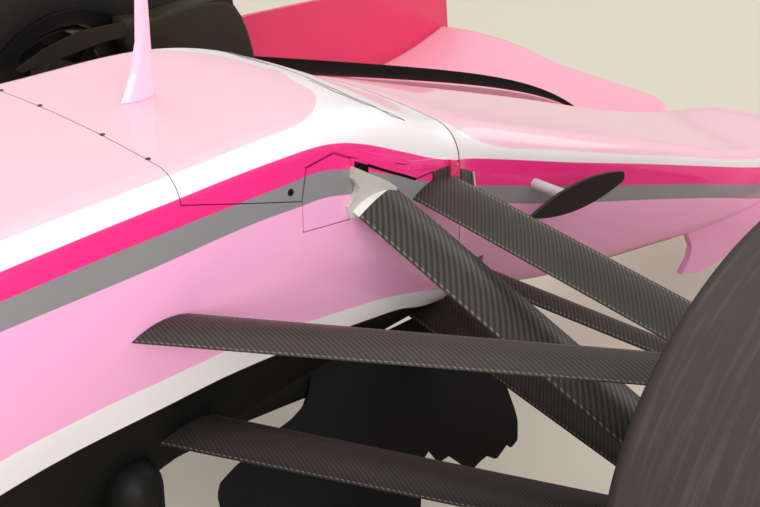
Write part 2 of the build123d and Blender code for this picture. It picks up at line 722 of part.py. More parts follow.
def tyre():
    """Left tyre: a hollow carcass with crowned tread and bulging side walls."""
    def outline(inset):
        c = TYRE_CENTRE_Y
        bead = (FLANGE_HALF - FLANGE_THICK - SEAT_GAP - inset, BEAD_R + SEAT_GAP)
        lip = (FLANGE_HALF - FLANGE_THICK - SEAT_GAP - inset, FLANGE_R + SEAT_GAP)
        wall = (TYRE_HALF - inset, TYRE_WALL_R)
        shoulder = (TYRE_SHOULDER[0] - inset * TREAD_DRAW, TYRE_SHOULDER[1] - inset * SHOULDER_DRAW)
        edge = (TYRE_EDGE[0] - inset * TREAD_DRAW, TYRE_EDGE[1] - inset)
        crown = TYRE_R - inset

        def point(side, y, r):
            return at(0, c + side * y, AXLE_Z + r)

        edges = [Edge.make_three_point_arc(point(-1, *edge), point(1, 0, crown), point(1, *edge))]
        edges.append(Edge.make_line(point(1, *edge), point(1, *shoulder)))
        edges.append(Edge.make_three_point_arc(point(1, *shoulder), point(1, *wall), point(1, *lip)))
        edges.append(Edge.make_line(point(1, *lip), point(1, *bead)))
        edges.append(Edge.make_line(point(1, *bead), point(-1, *bead)))
        edges.append(Edge.make_line(point(-1, *bead), point(-1, *lip)))
        edges.append(Edge.make_three_point_arc(point(-1, *lip), point(-1, *wall), point(-1, *shoulder)))
        edges.append(Edge.make_line(point(-1, *shoulder), point(-1, *edge)))
        return Face(Wire(edges))

    axis = Axis(at(0, 0, AXLE_Z), (0, 1, 0))
    outer = Solid.revolve(outline(0), 360, axis)
    inner = Solid.revolve(outline(TYRE_WALL), 360, axis)
    return as_solid(outer.cut(inner))


def wheel_rim():
    """Left wheel: barrel with flanges, spokes and the boss that seats on the hub."""
    c = TYRE_CENTRE_Y
    low = c - FLANGE_HALF
    high = c + FLANGE_HALF
    lip = FLANGE_R - FLANGE_LIP
    slope = FLANGE_THICK - FLANGE_SHEET
    barrel = wheel_revolve([
        (low + slope, BEAD_R - RIM_THICK), (high - slope, BEAD_R - RIM_THICK), (high, lip), (high, FLANGE_R),
        (high - FLANGE_THICK, FLANGE_R), (high - FLANGE_THICK, BEAD_R),
        (low + FLANGE_THICK, BEAD_R), (low + FLANGE_THICK, FLANGE_R), (low, FLANGE_R), (low, lip),
    ])
    boss = wheel_ring(WHEEL_BOSS_R, HUB_NOSE_R + RUNNING_GAP, HUB_STEP_Y, HUB_STEP_Y + WHEEL_BOSS_THICK)
    wheel = barrel.fuse(boss)
    reach = BEAD_R - RIM_BITE
    for number in range(SPOKE_COUNT):
        turn = 360.0 / SPOKE_COUNT * number
        spoke = box(WHEEL_BOSS_R - SPOKE_BITE, reach, SPOKE_Y, SPOKE_Y + SPOKE_THICK,
                    AXLE_Z - SPOKE_WIDTH / 2, AXLE_Z + SPOKE_WIDTH / 2)
        wheel = wheel.fuse(spoke.rotate(Axis(at(0, 0, AXLE_Z), (0, 1, 0)), turn))
    return as_solid(wheel)


def hub():
    """Left hub: the axle shaft with the flange that carries disc and wheel."""
    shaft = wheel_ring(BEARING_R - RUNNING_GAP, 0, HOUSING_IN_Y - SHAFT_PROUD, HUB_STEP_Y)
    disc_seat = DISC_IN_Y + DISC_THICK
    flange = wheel_ring(HUB_FLANGE_R, 0, disc_seat, disc_seat + FLANGE_PLATE)
    step = wheel_ring(WHEEL_BOSS_R - STEP_INSET, 0, HUB_STEP_Y - STEP_INSET, HUB_STEP_Y)
    nose = wheel_ring(HUB_NOSE_R, 0, HUB_STEP_Y, HUB_END_Y)
    return as_solid(shaft.fuse(flange).fuse(step).fuse(nose))


def wheel_nut():
    """Left wheel nut: one large ring nut with a drive face."""
    plane = Plane(origin=at(0, HUB_STEP_Y + WHEEL_BOSS_THICK, AXLE_Z), z_dir=(0, 1, 0))
    ring = wheel_ring(NUT_R, HUB_NOSE_R + RUNNING_GAP, plane.origin.Y, plane.origin.Y + NUT_THICK)
    return as_solid(ring)


def brake_disc():
    """Left carbon brake disc."""
    return wheel_ring(DISC_R, DISC_BORE_R, DISC_IN_Y, DISC_IN_Y + DISC_THICK)


def clevis(joint):
    """Left clevis: a pin on the kingpin between two cheeks, webbed to the upright behind."""
    plane = kingpin_plane(joint)
    near = EYE_HEIGHT / 2 + CHEEK_GAP
    far = near + CHEEK_THICK
    reach = HOUSING_OUT_Y - joint[1] - CHEEK_GAP
    piece = disc(plane, JOINT_PIN_R, -far, far)
    for low, high in ((near, far), (-far, -near)):
        cheek = disc(plane, CHEEK_R, low, high)
        arm = plane_box(plane, -CHEEK_R, CHEEK_R, 0, reach, low, high)
        piece = piece.fuse(cheek).fuse(arm)
    web = plane_box(plane, -CHEEK_R, CHEEK_R, EYE_R + WEB_GAP, reach, -far, far)
    return piece.fuse(web)


def upright():
    """Left upright: bearing housing between the two clevises, with the steering arm."""
    body_ring = wheel_ring(HOUSING_R, 0, HOUSING_IN_Y, HOUSING_OUT_Y)
    piece = body_ring.fuse(clevis(UPPER_JOINT)).fuse(clevis(LOWER_JOINT))
    back_y = max(UPPER_JOINT[1], LOWER_JOINT[1]) + EYE_R + WEB_GAP
    spine = box(LOWER_JOINT[0] - CHEEK_R, UPPER_JOINT[0] + CHEEK_R, back_y, HOUSING_OUT_Y,
                LOWER_JOINT[2] - SPINE_REACH, UPPER_JOINT[2] + SPINE_REACH)
    piece = piece.fuse(spine).fuse(calliper_bracket()).fuse(steering_arm())
    bore = wheel_ring(BEARING_R, 0, HOUSING_IN_Y - BORE_REACH, HOUSING_OUT_Y + BORE_REACH)
    return as_solid(piece.cut(bore))

def calliper_bracket():
    """Bracket on the left bearing housing that carries the calliper."""
    low = DISC_IN_Y - CALLIPER_GAP - CALLIPER_WALL
    root_r = HOUSING_R - BRACKET_BITE
    top_r = CALLIPER_IN_R - SEAT_GAP
    return sector(((low, root_r), (HOUSING_OUT_Y, root_r), (HOUSING_OUT_Y, top_r), (low, top_r)), CALLIPER_ARC)

def steering_arm():
    """Left steering arm: a flat plate from the housing to its end under the track rod's eye."""
    arm_x, arm_y, arm_z = ARM_JOINT
    knee_x, knee_in = ARM_KNEE
    root_y = HOUSING_OUT_Y - ARM_BITE
    top = arm_z - ROD_THICK / 2 - ARM_DROP
    outline = (
        (ARM_ROOT_X[0], root_y), (knee_x, HOUSING_OUT_Y - knee_in), (arm_x - ARM_NECK, arm_y - ARM_HALF),
        (arm_x + ARM_TIP, arm_y - ARM_HALF), (arm_x + ARM_TIP, arm_y + ARM_HALF), (ARM_ROOT_X[1], root_y),
    )
    return plan_prism(outline, top - ARM_THICK, top)

def scoop_outline(inset):
    """Side view of the scoop, drawn in by the inset."""
    face = side_face(SCOOP_OUTLINE, SCOOP_Y[0] + inset)
    if inset:
        face = Face(face.outer_wire().offset_2d(-inset, Kind.INTERSECTION))
    return face


def brake_duct():
    """Left brake duct: drum round the disc, plate inboard of the tyre, and the scoop that feeds the drum."""
    drum = wheel_ring(DRUM_R, DRUM_R - DRUM_WALL, DRUM_IN_Y, DRUM_OUT_Y)
    drum = drum.cut(box(*DRUM_WINDOW_X, DRUM_IN_Y - LAP, HOUSING_OUT_Y + WINDOW_REACH, *DRUM_WINDOW_Z))
    low, high = SCOOP_Y
    scoop = Solid.extrude(scoop_outline(0), Vector(0, high - low, 0))
    hollow = Solid.extrude(scoop_outline(SCOOP_WALL), Vector(0, high - low - 2 * SCOOP_WALL, 0))
    mouth = box(*MOUTH_X, low + SCOOP_WALL, high - SCOOP_WALL, *MOUTH_Z)
    plate = side_prism(DUCT_PLATE, low, low + SCOOP_WALL)
    throat = box(*THROAT_X, low + SCOOP_WALL, high, *THROAT_Z)
    elbow = box(*ELBOW_X, high - LAP, DRUM_IN_Y + ELBOW_REACH, *THROAT_Z)
    piece = scoop.fuse(plate).fuse(throat).fuse(elbow).fuse(drum)
    piece = piece.cut(hollow).cut(mouth)
    for angle in STRUT_ANGLES:
        strut = box(HOUSING_R + SEAT_GAP, DRUM_R - DRUM_WALL / 2,
                    HOUSING_IN_Y + STRUT_INSET, HOUSING_OUT_Y - STRUT_INSET,
                    AXLE_Z - STRUT_WIDTH / 2, AXLE_Z + STRUT_WIDTH / 2)
        piece = piece.fuse(strut.rotate(Axis(at(0, 0, AXLE_Z), (0, 1, 0)), angle))
    return as_solid(piece)


def sector(points, arc):
    """Arc about the left wheel's axle, centred at the rear, from a closed outline of y and radius."""
    corners = [at(0, y, AXLE_Z + r) for y, r in points]
    axis = Axis(at(0, 0, AXLE_Z), (0, 1, 0))
    face = Face(Wire.make_polygon(corners, close=True))
    return Solid.revolve(face, arc, axis).rotate(axis, -90 - arc / 2)


def calliper():
    """Left brake calliper: a bridge over the disc's rear edge with a wall each side."""
    low = DISC_IN_Y - CALLIPER_GAP
    high = DISC_IN_Y + DISC_THICK + CALLIPER_GAP
    inner_r = CALLIPER_IN_R
    bridge_r = DISC_R + CALLIPER_GAP
    outer_r = bridge_r + CALLIPER_BRIDGE
    return sector((
        (low - CALLIPER_WALL, inner_r), (low, inner_r), (low, bridge_r), (high, bridge_r), (high, inner_r),
        (high + CALLIPER_WALL, inner_r), (high + CALLIPER_WALL, outer_r), (low - CALLIPER_WALL, outer_r),
    ), CALLIPER_ARC)


def rack_housing():
    """Housing of the steering rack, bolted to the front bulkhead."""
    tube = rod(at(RACK_X, -HOUSING_HALF, RACK_Z), at(RACK_X, HOUSING_HALF, RACK_Z), RACK_R + HOUSING_WALL)
    foot_half = RACK_R + RACK_FOOT_PROUD
    for y in (-HOUSING_HALF + RACK_FOOT_WIDTH, HOUSING_HALF - 2 * RACK_FOOT_WIDTH):
        tube = tube.fuse(box(JOINT_X, RACK_X, y, y + RACK_FOOT_WIDTH, RACK_Z - foot_half, RACK_Z + foot_half))
    bore_half = HOUSING_HALF + CUT_OVER
    bore = rod(at(RACK_X, -bore_half, RACK_Z), at(RACK_X, bore_half, RACK_Z), RACK_R + RUNNING_GAP)
    return as_solid(tube.cut(bore))


def rack_bar():
    """Steering rack bar that slides across the car."""
    return rod(at(RACK_X, -RACK_HALF, RACK_Z), at(RACK_X, RACK_HALF, RACK_Z), RACK_R)


def track_rod():
    """Left track rod: a flat carbon bar with the eye that lies over the steering arm."""
    arm_x, arm_y, arm_z = ARM_JOINT
    end_y = arm_y - EYE_R

    def section(y, z):
        nose = (RACK_X + ROD_CHORD / 2, z)
        tail = (RACK_X - ROD_CHORD / 2, z)
        return blade_face(y, nose, tail, 0, ROD_THICK, ROD_NOSE_R).outer_wire()

    bar = Solid.make_loft([section(RACK_HALF, RACK_Z), section(end_y, arm_z)], True)
    neck = rod(at(arm_x, end_y - NECK_REACH, arm_z), at(arm_x, arm_y, arm_z), ROD_THICK / 2 - NECK_INSET)
    eye = disc(Plane(origin=at(*ARM_JOINT)), ARM_EYE_R, -ROD_THICK / 2, ROD_THICK / 2)
    return as_solid(bar.fuse(neck).fuse(eye))


def wing_loft(stations):
    """Smooth blade through wing stations."""
    wires = []
    for y, nose_x, nose_z, tail_x, tail_z, sag, thick, nose_r in stations:
        wires.append(blade_face(y, (nose_x, nose_z), (tail_x, tail_z), sag, thick, nose_r).outer_wire())
    return Solid.make_loft(wires)


def main_plane(grow=0.0):
    """Main plane of the front wing: a flat centre with a risen blade out to each endplate."""
    left = [(*row[:6], row[6] + 2 * grow, BLADE_NOSE_R) for row in MAIN_STATIONS]
    centre = wing_loft([(-left[0][0], *left[0][1:]), left[0]])
    outer, mirrored = both_sides(wing_loft(left))
    return as_solid(centre.fuse(outer).fuse(mirrored))


def flap(start, end):
    """Left flap between two shares of the curved rise behind the main plane."""
    stations = []
    for y, low_x, low_z, high_x, high_z in FLAP_STATIONS:
        run_x = high_x - low_x
        run_z = high_z - low_z
        length = (run_x ** 2 + run_z ** 2) ** 0.5

        def on_rise(share):
            dip = 4 * FLAP_SAG * share * (1 - share)
            return low_x + run_x * share + run_z * dip, low_z + run_z * share + run_x * dip

        nose_x, nose_z = on_rise(start + FLAP_SLOT)
        tail_x, tail_z = on_rise(end)
        chord = length * (end - start)
        thick = max(FLAP_THICK_LEAST, chord * FLAP_THICK)
        stations.append((y, nose_x, nose_z, tail_x, tail_z, chord * FLAP_THICK, thick, FLAP_NOSE_R))
    return wing_loft(stations)


def endplate():
    """Left endplate with the foot along its lower edge."""
    low = WING_END_Y + SEAT_GAP
    plate = side_prism(ENDPLATE_OUTLINE, low, low + ENDPLATE_THICK)
    foot_z = ENDPLATE_OUTLINE[-1][1]
    foot = box(ENDPLATE_OUTLINE[-1][0] + FOOT_SET, ENDPLATE_OUTLINE[-2][0] - FOOT_SET,
               low - FOOT_WIDTH, low + LAP, foot_z, foot_z + FOOT_THICK)
    return as_solid(plate.fuse(foot))


def turning_vane(outline, clear):
    """Left turning vane: a bent plate trimmed to its side view."""
    x_low = min(x for x, z in outline)
    x_high = max(x for x, z in outline)
    (top_y, top_z), (bend_y, bend_z), (foot_y, foot_z) = VANE_BEND
    bend = at(x_low, bend_y, bend_z)
    inner = Edge.make_three_point_arc(at(x_low, top_y, top_z), bend, at(x_low, foot_y, foot_z))
    shift = VANE_THICK
    outer = Edge.make_three_point_arc(
        at(x_low, foot_y + shift, foot_z), at(x_low, bend_y + shift, bend_z + VANE_SKEW),
        at(x_low, top_y + shift, top_z))
    ends = [Edge.make_line(inner @ 1, outer @ 0), Edge.make_line(outer @ 1, inner @ 0)]
    face = Face(Wire([inner, ends[0], outer, ends[1]]))
    plate = Solid.extrude(face, Vector(x_high - x_low, 0, 0))
    trimmed = as_solid(plate.intersect(side_prism(outline, *VANE_REACH)))
    return as_solid(trimmed.cut(clear))


def floor_tray(clear):
    """Floor tray with its leading edge under the legs, and the stay that holds it."""
    left = list(TRAY_OUTLINE)
    right = [(x, -y) for x, y in reversed(TRAY_OUTLINE[:-1])]
    plate = plan_prism(left + right, TRAY_LOW_Z, TRAY_TOP_Z)
    stay = rod(at(STAY_X, 0, TRAY_TOP_Z - STAY_BITE), at(STAY_X, 0, STAY_TOP_Z), STAY_R)
    return as_solid(plate.fuse(stay).cut(clear))


def seat_shell(room):
    """Driver's seat: a bucket with thin walls on two rails that stand on the tub's floor."""
    outer = side_prism(SEAT_OUTLINE, -SEAT_HALF, SEAT_HALF)
    face = side_face(SEAT_OUTLINE, -SEAT_HALF + SEAT_THICK)
    drawn_in = Face(face.outer_wire().offset_2d(-SEAT_THICK, Kind.INTERSECTION))
    hollow = Solid.extrude(drawn_in, Vector(0, 2 * (SEAT_HALF - SEAT_THICK), 0))
    lid = side_prism(SEAT_MOUTH, -SEAT_HALF + SEAT_THICK, SEAT_HALF - SEAT_THICK)
    bucket = outer.cut(hollow).cut(lid)
    for y in (-RAIL_Y, RAIL_Y):
        rail = box(*RAIL_X, y - RAIL_HALF, y + RAIL_HALF, RAIL_LOW_Z, SEAT_LOW_Z + SEAT_THICK / 2)
        bucket = bucket.fuse(as_solid(rail.intersect(room)))
    return as_solid(bucket)


def headrest():
    """Padded collar round the rear of the cockpit opening."""
    outer = Solid.extrude(cockpit_wire(SEAT_GAP, HEADREST_LOW_Z), Vector(0, 0, HEADREST_TOP_Z - HEADREST_LOW_Z))
    rear_x = COCKPIT_OUTLINE[-1][0] + HEADREST_DEPTH
    half = COCKPIT_OUTLINE[-1][1] - HEADREST_WIDTH
    z_low = HEADREST_LOW_Z - CUT_OVER
    z_high = HEADREST_TOP_Z + CUT_OVER
    hollow = box(rear_x, 0, -half, half, z_low, z_high)
    front = box(HEADREST_FRONT_X, 0, -BODY_REACH, BODY_REACH, z_low, z_high)
    return as_solid(outer.cut(hollow).cut(front))


def roll_hoop(clear):
    """Roll hoop behind the driver's head with the engine's air intake through it."""
    wires = []
    for rear, front, half, z in HOOP_SECTIONS:
        slim = half * HOOP_FRONT_SHARE
        corners = [at(rear, half, z), at(front, slim, z), at(front, -slim, z), at(rear, -half, z)]
        face = Face(Wire.make_polygon(corners, close=True))
        wires.append(face.fillet_2d(half * HOOP_ROUND_SHARE, face.vertices()).outer_wire())
    tower = Solid.make_loft(wires, True)
    plane = Plane(origin=at(HOOP_SECTIONS[0][0] - INTAKE_START, 0, INTAKE_Z), x_dir=(0, 1, 0), z_dir=(1, 0, 0))
    duct = extrude(plane * Ellipse(INTAKE_HALF_Y, INTAKE_HALF_Z), BODY_REACH)
    return as_solid(tower.cut(duct.solid()).cut(clear))


def mirror_housing(clear):
    """Left mirror: a shallow housing on its stay."""
    low_y, high_y = MIRROR_Y
    half = MIRROR_HEIGHT / 2
    case = box(MIRROR_X, MIRROR_X + MIRROR_DEPTH, low_y, high_y, MIRROR_Z - half, MIRROR_Z + half)
    case = case.fillet(half * MIRROR_ROUND_SHARE, case.edges().filter_by(Axis.Y).group_by(Axis.X)[-1])
    open_half = half - MIRROR_RIM
    recess = box(MIRROR_X - LAP, MIRROR_X + MIRROR_RECESS, low_y + MIRROR_RIM, high_y - MIRROR_RIM,
                 MIRROR_Z - open_half, MIRROR_Z + open_half)
    stay_x = MIRROR_X + MIRROR_STAY_SET
    bite_y, bite_z = MIRROR_STAY_BITE
    stay = rod(at(stay_x, *MIRROR_STAY_ROOT), at(stay_x, low_y + bite_y, MIRROR_Z - bite_z), MIRROR_STAY_R)
    return as_solid(case.cut(recess).fuse(as_solid(stay.cut(clear))))


def mirror_glass():
    """Left mirror glass, flat in its housing."""
    low_y, high_y = MIRROR_Y
    rim = MIRROR_RIM + SEAT_GAP
    half = MIRROR_HEIGHT / 2 - rim
    front = MIRROR_X + MIRROR_RECESS
    return box(front - MIRROR_GLASS_THICK, front, low_y + rim, high_y - rim, MIRROR_Z - half, MIRROR_Z + half)


def column_plane(reach=0.0):
    """Plane across the steering column at a distance from the steering wheel towards the front."""
    ahead = Vector(cos(COLUMN_SLOPE), 0, -sin(COLUMN_SLOPE))
    return Plane(origin=at(*WHEEL_HUB) + ahead * reach, x_dir=(0, 1, 0), z_dir=ahead)


def steering_wheel():
    """Steering wheel: a flat module with rounded ends and grips."""
    plane = column_plane()
    face = plane * RectangleRounded(WHEEL_WIDTH, WHEEL_HEIGHT, WHEEL_CORNER_R)
    piece = extrude(face, WHEEL_MODULE_THICK / 2, both=True).solid()
    for side in (1, -1):
        start = plane.from_local_coords(Vector(side * WHEEL_WIDTH / 2, -WHEEL_HEIGHT * GRIP_SHARE, 0))
        end = plane.from_local_coords(Vector(side * WHEEL_WIDTH / 2, WHEEL_HEIGHT * GRIP_SHARE, 0))
        piece = piece.fuse(rod(start, end, GRIP_R))
    return as_solid(piece)


def steering_column():
    """Steering column from the wheel to its bush in the dash frame."""
    start = column_plane(WHEEL_MODULE_THICK / 2).origin
    end = column_plane(COLUMN_LENGTH).origin
    return rod(start, end, COLUMN_R)


def dash_frame(room):
    """Frame across the tub that holds the column's bush over the driver's legs."""
    plate = box(DASH_X, DASH_X + DASH_THICK, -DASH_HALF, DASH_HALF, DASH_LOW_Z, DASH_TOP_Z)
    plate = as_solid(plate.intersect(room))
    centre = column_plane((DASH_X - WHEEL_HUB[0]) / cos(COLUMN_SLOPE))
    boss = Solid.make_cylinder(COLUMN_R + BUSH_WALL, BUSH_LENGTH, centre.offset(-BUSH_SET))
    bore = Solid.make_cylinder(COLUMN_R + RUNNING_GAP, BUSH_BORE, centre.offset(-BUSH_BORE / 2))
    return as_solid(plate.fuse(boss).cut(bore))


def engine_studs():
    """Studs that bolt the piece to the engine, at the corners of a rectangle."""
    studs = []
    for y in (-STUD_SPACING_Y / 2, STUD_SPACING_Y / 2):
        for z in (-STUD_SPACING_Z / 2, STUD_SPACING_Z / 2):
            studs.append(rod(Vector(-STUD_LENGTH, y, z), Vector(0, y, z), STUD_R))
    return studs


def main():
    """Build every node and write it."""
    os.makedirs("parts", exist_ok=True)
    outer = shell(TUB_STATIONS)
    inner = shell(TUB_STATIONS, PANEL_THICK)
    clear = shell(TUB_STATIONS, -SEAT_GAP)
    nose = shell(NOSE_STATIONS)
    nose_clear = shell(NOSE_STATIONS, -SEAT_GAP)
    both_clear = clear.fuse(nose_clear)

    room = cavity()
    write("tub", [tub(outer, room)])
    write("top_cover", [skin_panel(COVER_OUTLINE, outer, inner, -BODY_REACH, BODY_REACH)])
    write("access_hatches", [
        skin_panel(HATCH_OUTLINE, outer, inner, 0, BODY_REACH),
        skin_panel(HATCH_OUTLINE, outer, inner, -BODY_REACH, 0),
    ])
    write("mast", [mast(clear)])
    write("nose_cone", [nose_cone(nose, main_plane(SEAT_GAP))])
    write("nose_pods", nose_pods(nose_clear))
    write("engine_studs", engine_studs())
    write("floor_tray", [floor_tray(clear)])
    vanes = []
    for outline in VANE_SHAPES:
        vanes.extend(both_sides(turning_vane(outline, clear)))
    write("turning_vanes", vanes)
    write("roll_hoop", [roll_hoop(clear)])
    write("mirrors", both_sides(mirror_housing(clear)))
    write("mirror_glasses", both_sides(mirror_glass()))
    write("headrest", [headrest()])
    write("seat_shell", [seat_shell(room)])
    write("dash_frame", [dash_frame(room)])
    write("steering_column", [steering_column()])
    write("steering_wheel", [steering_wheel()])

    write("wing_main_plane", [main_plane()])
    flaps = [flap(start, end) for start, end in FLAP_SPLITS]
    write("wing_front_flaps", both_sides(flaps[0]) + both_sides(flaps[1]))
    write("wing_rear_flaps", both_sides(flaps[2]))
    write("wing_endplates", both_sides(endplate()))

    write("upper_wishbones", both_sides(wishbone(UPPER_ROOTS, UPPER_JOINT, both_clear)))
    write("lower_wishbones", both_sides(lower_wishbone(both_clear)))
    pushrod = as_solid(pushrod_piece(PUSHROD_START, PUSHROD_END).cut(pushrod_root()))
    write("pushrods", both_sides(pushrod))
    write("pushrod_fittings", both_sides(pushrod_fitting(pushrod, clear)))
    write("rack_housing", [rack_housing()])
    write("rack_bar", [rack_bar()])
    write("track_rods", both_sides(track_rod()))

    pieces = {
        "upright": upright(),
        "brake_duct": brake_duct(),
        "calliper": calliper(),
        "hub": hub(),
        "brake_disc": brake_disc(),
        "wheel_rim": wheel_rim(),
        "wheel_nut": wheel_nut(),
        "tyre": tyre(),
    }
    for name, solid in pieces.items():
        left, right = both_sides(solid)
        write(name + "_left", [left])
        write(name + "_right", [right])


if __name__ == "__main__":
    main()
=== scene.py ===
"""Looks for the front half of an open wheel racing car.

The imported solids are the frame. This script paints the banded livery on the body, gives the arms their
woven carbon, dresses the wheels, brakes and cockpit, adds the small fasteners, trim and pads that the solids
leave out, and stands the whole on a pale studio floor.
"""

import logging
import math
from dataclasses import dataclass
from enum import Enum
from typing import Any, Callable, Sequence

import bmesh
import bpy
from mathutils import Matrix, Vector
from mathutils.bvhtree import BVHTree


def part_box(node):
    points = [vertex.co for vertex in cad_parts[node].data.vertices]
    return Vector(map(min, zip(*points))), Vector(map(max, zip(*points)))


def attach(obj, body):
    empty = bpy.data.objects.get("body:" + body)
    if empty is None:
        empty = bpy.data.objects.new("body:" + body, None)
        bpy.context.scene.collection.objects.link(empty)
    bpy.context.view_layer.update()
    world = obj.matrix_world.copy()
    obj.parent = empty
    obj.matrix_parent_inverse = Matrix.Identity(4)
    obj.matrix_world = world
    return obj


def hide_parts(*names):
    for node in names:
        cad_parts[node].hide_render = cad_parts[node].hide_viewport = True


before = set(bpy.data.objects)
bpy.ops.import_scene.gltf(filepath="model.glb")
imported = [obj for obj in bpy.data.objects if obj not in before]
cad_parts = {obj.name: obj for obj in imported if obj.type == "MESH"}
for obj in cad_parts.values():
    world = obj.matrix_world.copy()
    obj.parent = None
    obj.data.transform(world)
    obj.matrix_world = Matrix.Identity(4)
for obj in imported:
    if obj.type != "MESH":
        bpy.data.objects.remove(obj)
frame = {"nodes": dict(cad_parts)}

LOG = logging.getLogger("racing_car_looks")

# Front axle ahead of the bulkhead, and the studs' centre above the ground, in metres
AXLE_X = 2.150
MOUNT_HEIGHT = 0.330
# Front axle above the ground, in millimetres
AXLE_HEIGHT = 338.0
# Spans that the curves of the painted bands are drawn over, in metres
LIVERY_LENGTH = 3.3
LIVERY_HEIGHT = 0.9
LIVERY_WIDTH = 0.4
# Joint between chassis and nose, in millimetres ahead of the axle
JOINT_X = 55.0

# Ways in which trim on the left falls onto the body, and in which fittings stand off a rear face
INWARD = (0.0, -1.0, 0.0)
DOWN = (0.0, 0.0, -1.0)
REARWARD = (-1.0, 0.0, 0.0)
# Sides of a bolt head or nut
HEXAGON = 6
# How near points are that weld into one, and how far thin trim stands over a surface, in metres
WELD = 1e-6
SEAM_WELD = 1e-5
TRIM_LIFT = 0.0006

Colour = tuple[float, float, float, float]
Point = tuple[float, float, float]
Line = tuple[tuple[float, float], ...]
Socket = bpy.types.NodeSocket


def place(x: float, y: float, z: float) -> Vector:
    """Point of the frame, in metres.

    Args:
        x: millimetres ahead of the front axle.
        y: millimetres to the left of the centre plane.
        z: millimetres above the ground.

    Returns:
        The point in the frame of the solids.
    """
    return Vector((AXLE_X + x / 1000, y / 1000, z / 1000 - MOUNT_HEIGHT))


def paint(red: int, green: int, blue: int) -> Colour:
    """Linear colour of a paint given as display values.

    Args:
        red: display red, 0 to 255.
        green: display green, 0 to 255.
        blue: display blue, 0 to 255.

    Returns:
        Linear red, green, blue and full opacity.
    """
    def channel(value: int) -> float:
        """One display value made linear."""
        share = value / 255
        return share / 12.92 if share <= 0.04045 else ((share + 0.055) / 1.055) ** 2.4

    return channel(red), channel(green), channel(blue), 1.0


class Side(Enum):
    """Side of the car, with its sign along Y."""

    LEFT = 1
    RIGHT = -1

    @property
    def label(self) -> str:
        """Lower case name, as the solids' nodes end."""
        return self.name.lower()

    def spot(self, x: float, y: float, z: float) -> Vector:
        """Point on this side of the car, given as on its left."""
        return place(x, self.value * y, z)


class Tint(Enum):
    """Paints of the car."""

    PALE_PINK = paint(252, 200, 214)
    FLANK_PINK = paint(254, 178, 222)
    MAGENTA = paint(250, 52, 138)
    WHITE = paint(246, 240, 243)
    GREY = paint(142, 141, 143)
    CARBON = paint(12, 12, 12)
    GAP = paint(8, 8, 8)


class MixKind(Enum):
    """What a mix node mixes, with the numbers of its two inputs and its output."""

    COLOUR = ("RGBA", 6, 7, 2)
    VECTOR = ("VECTOR", 4, 5, 1)


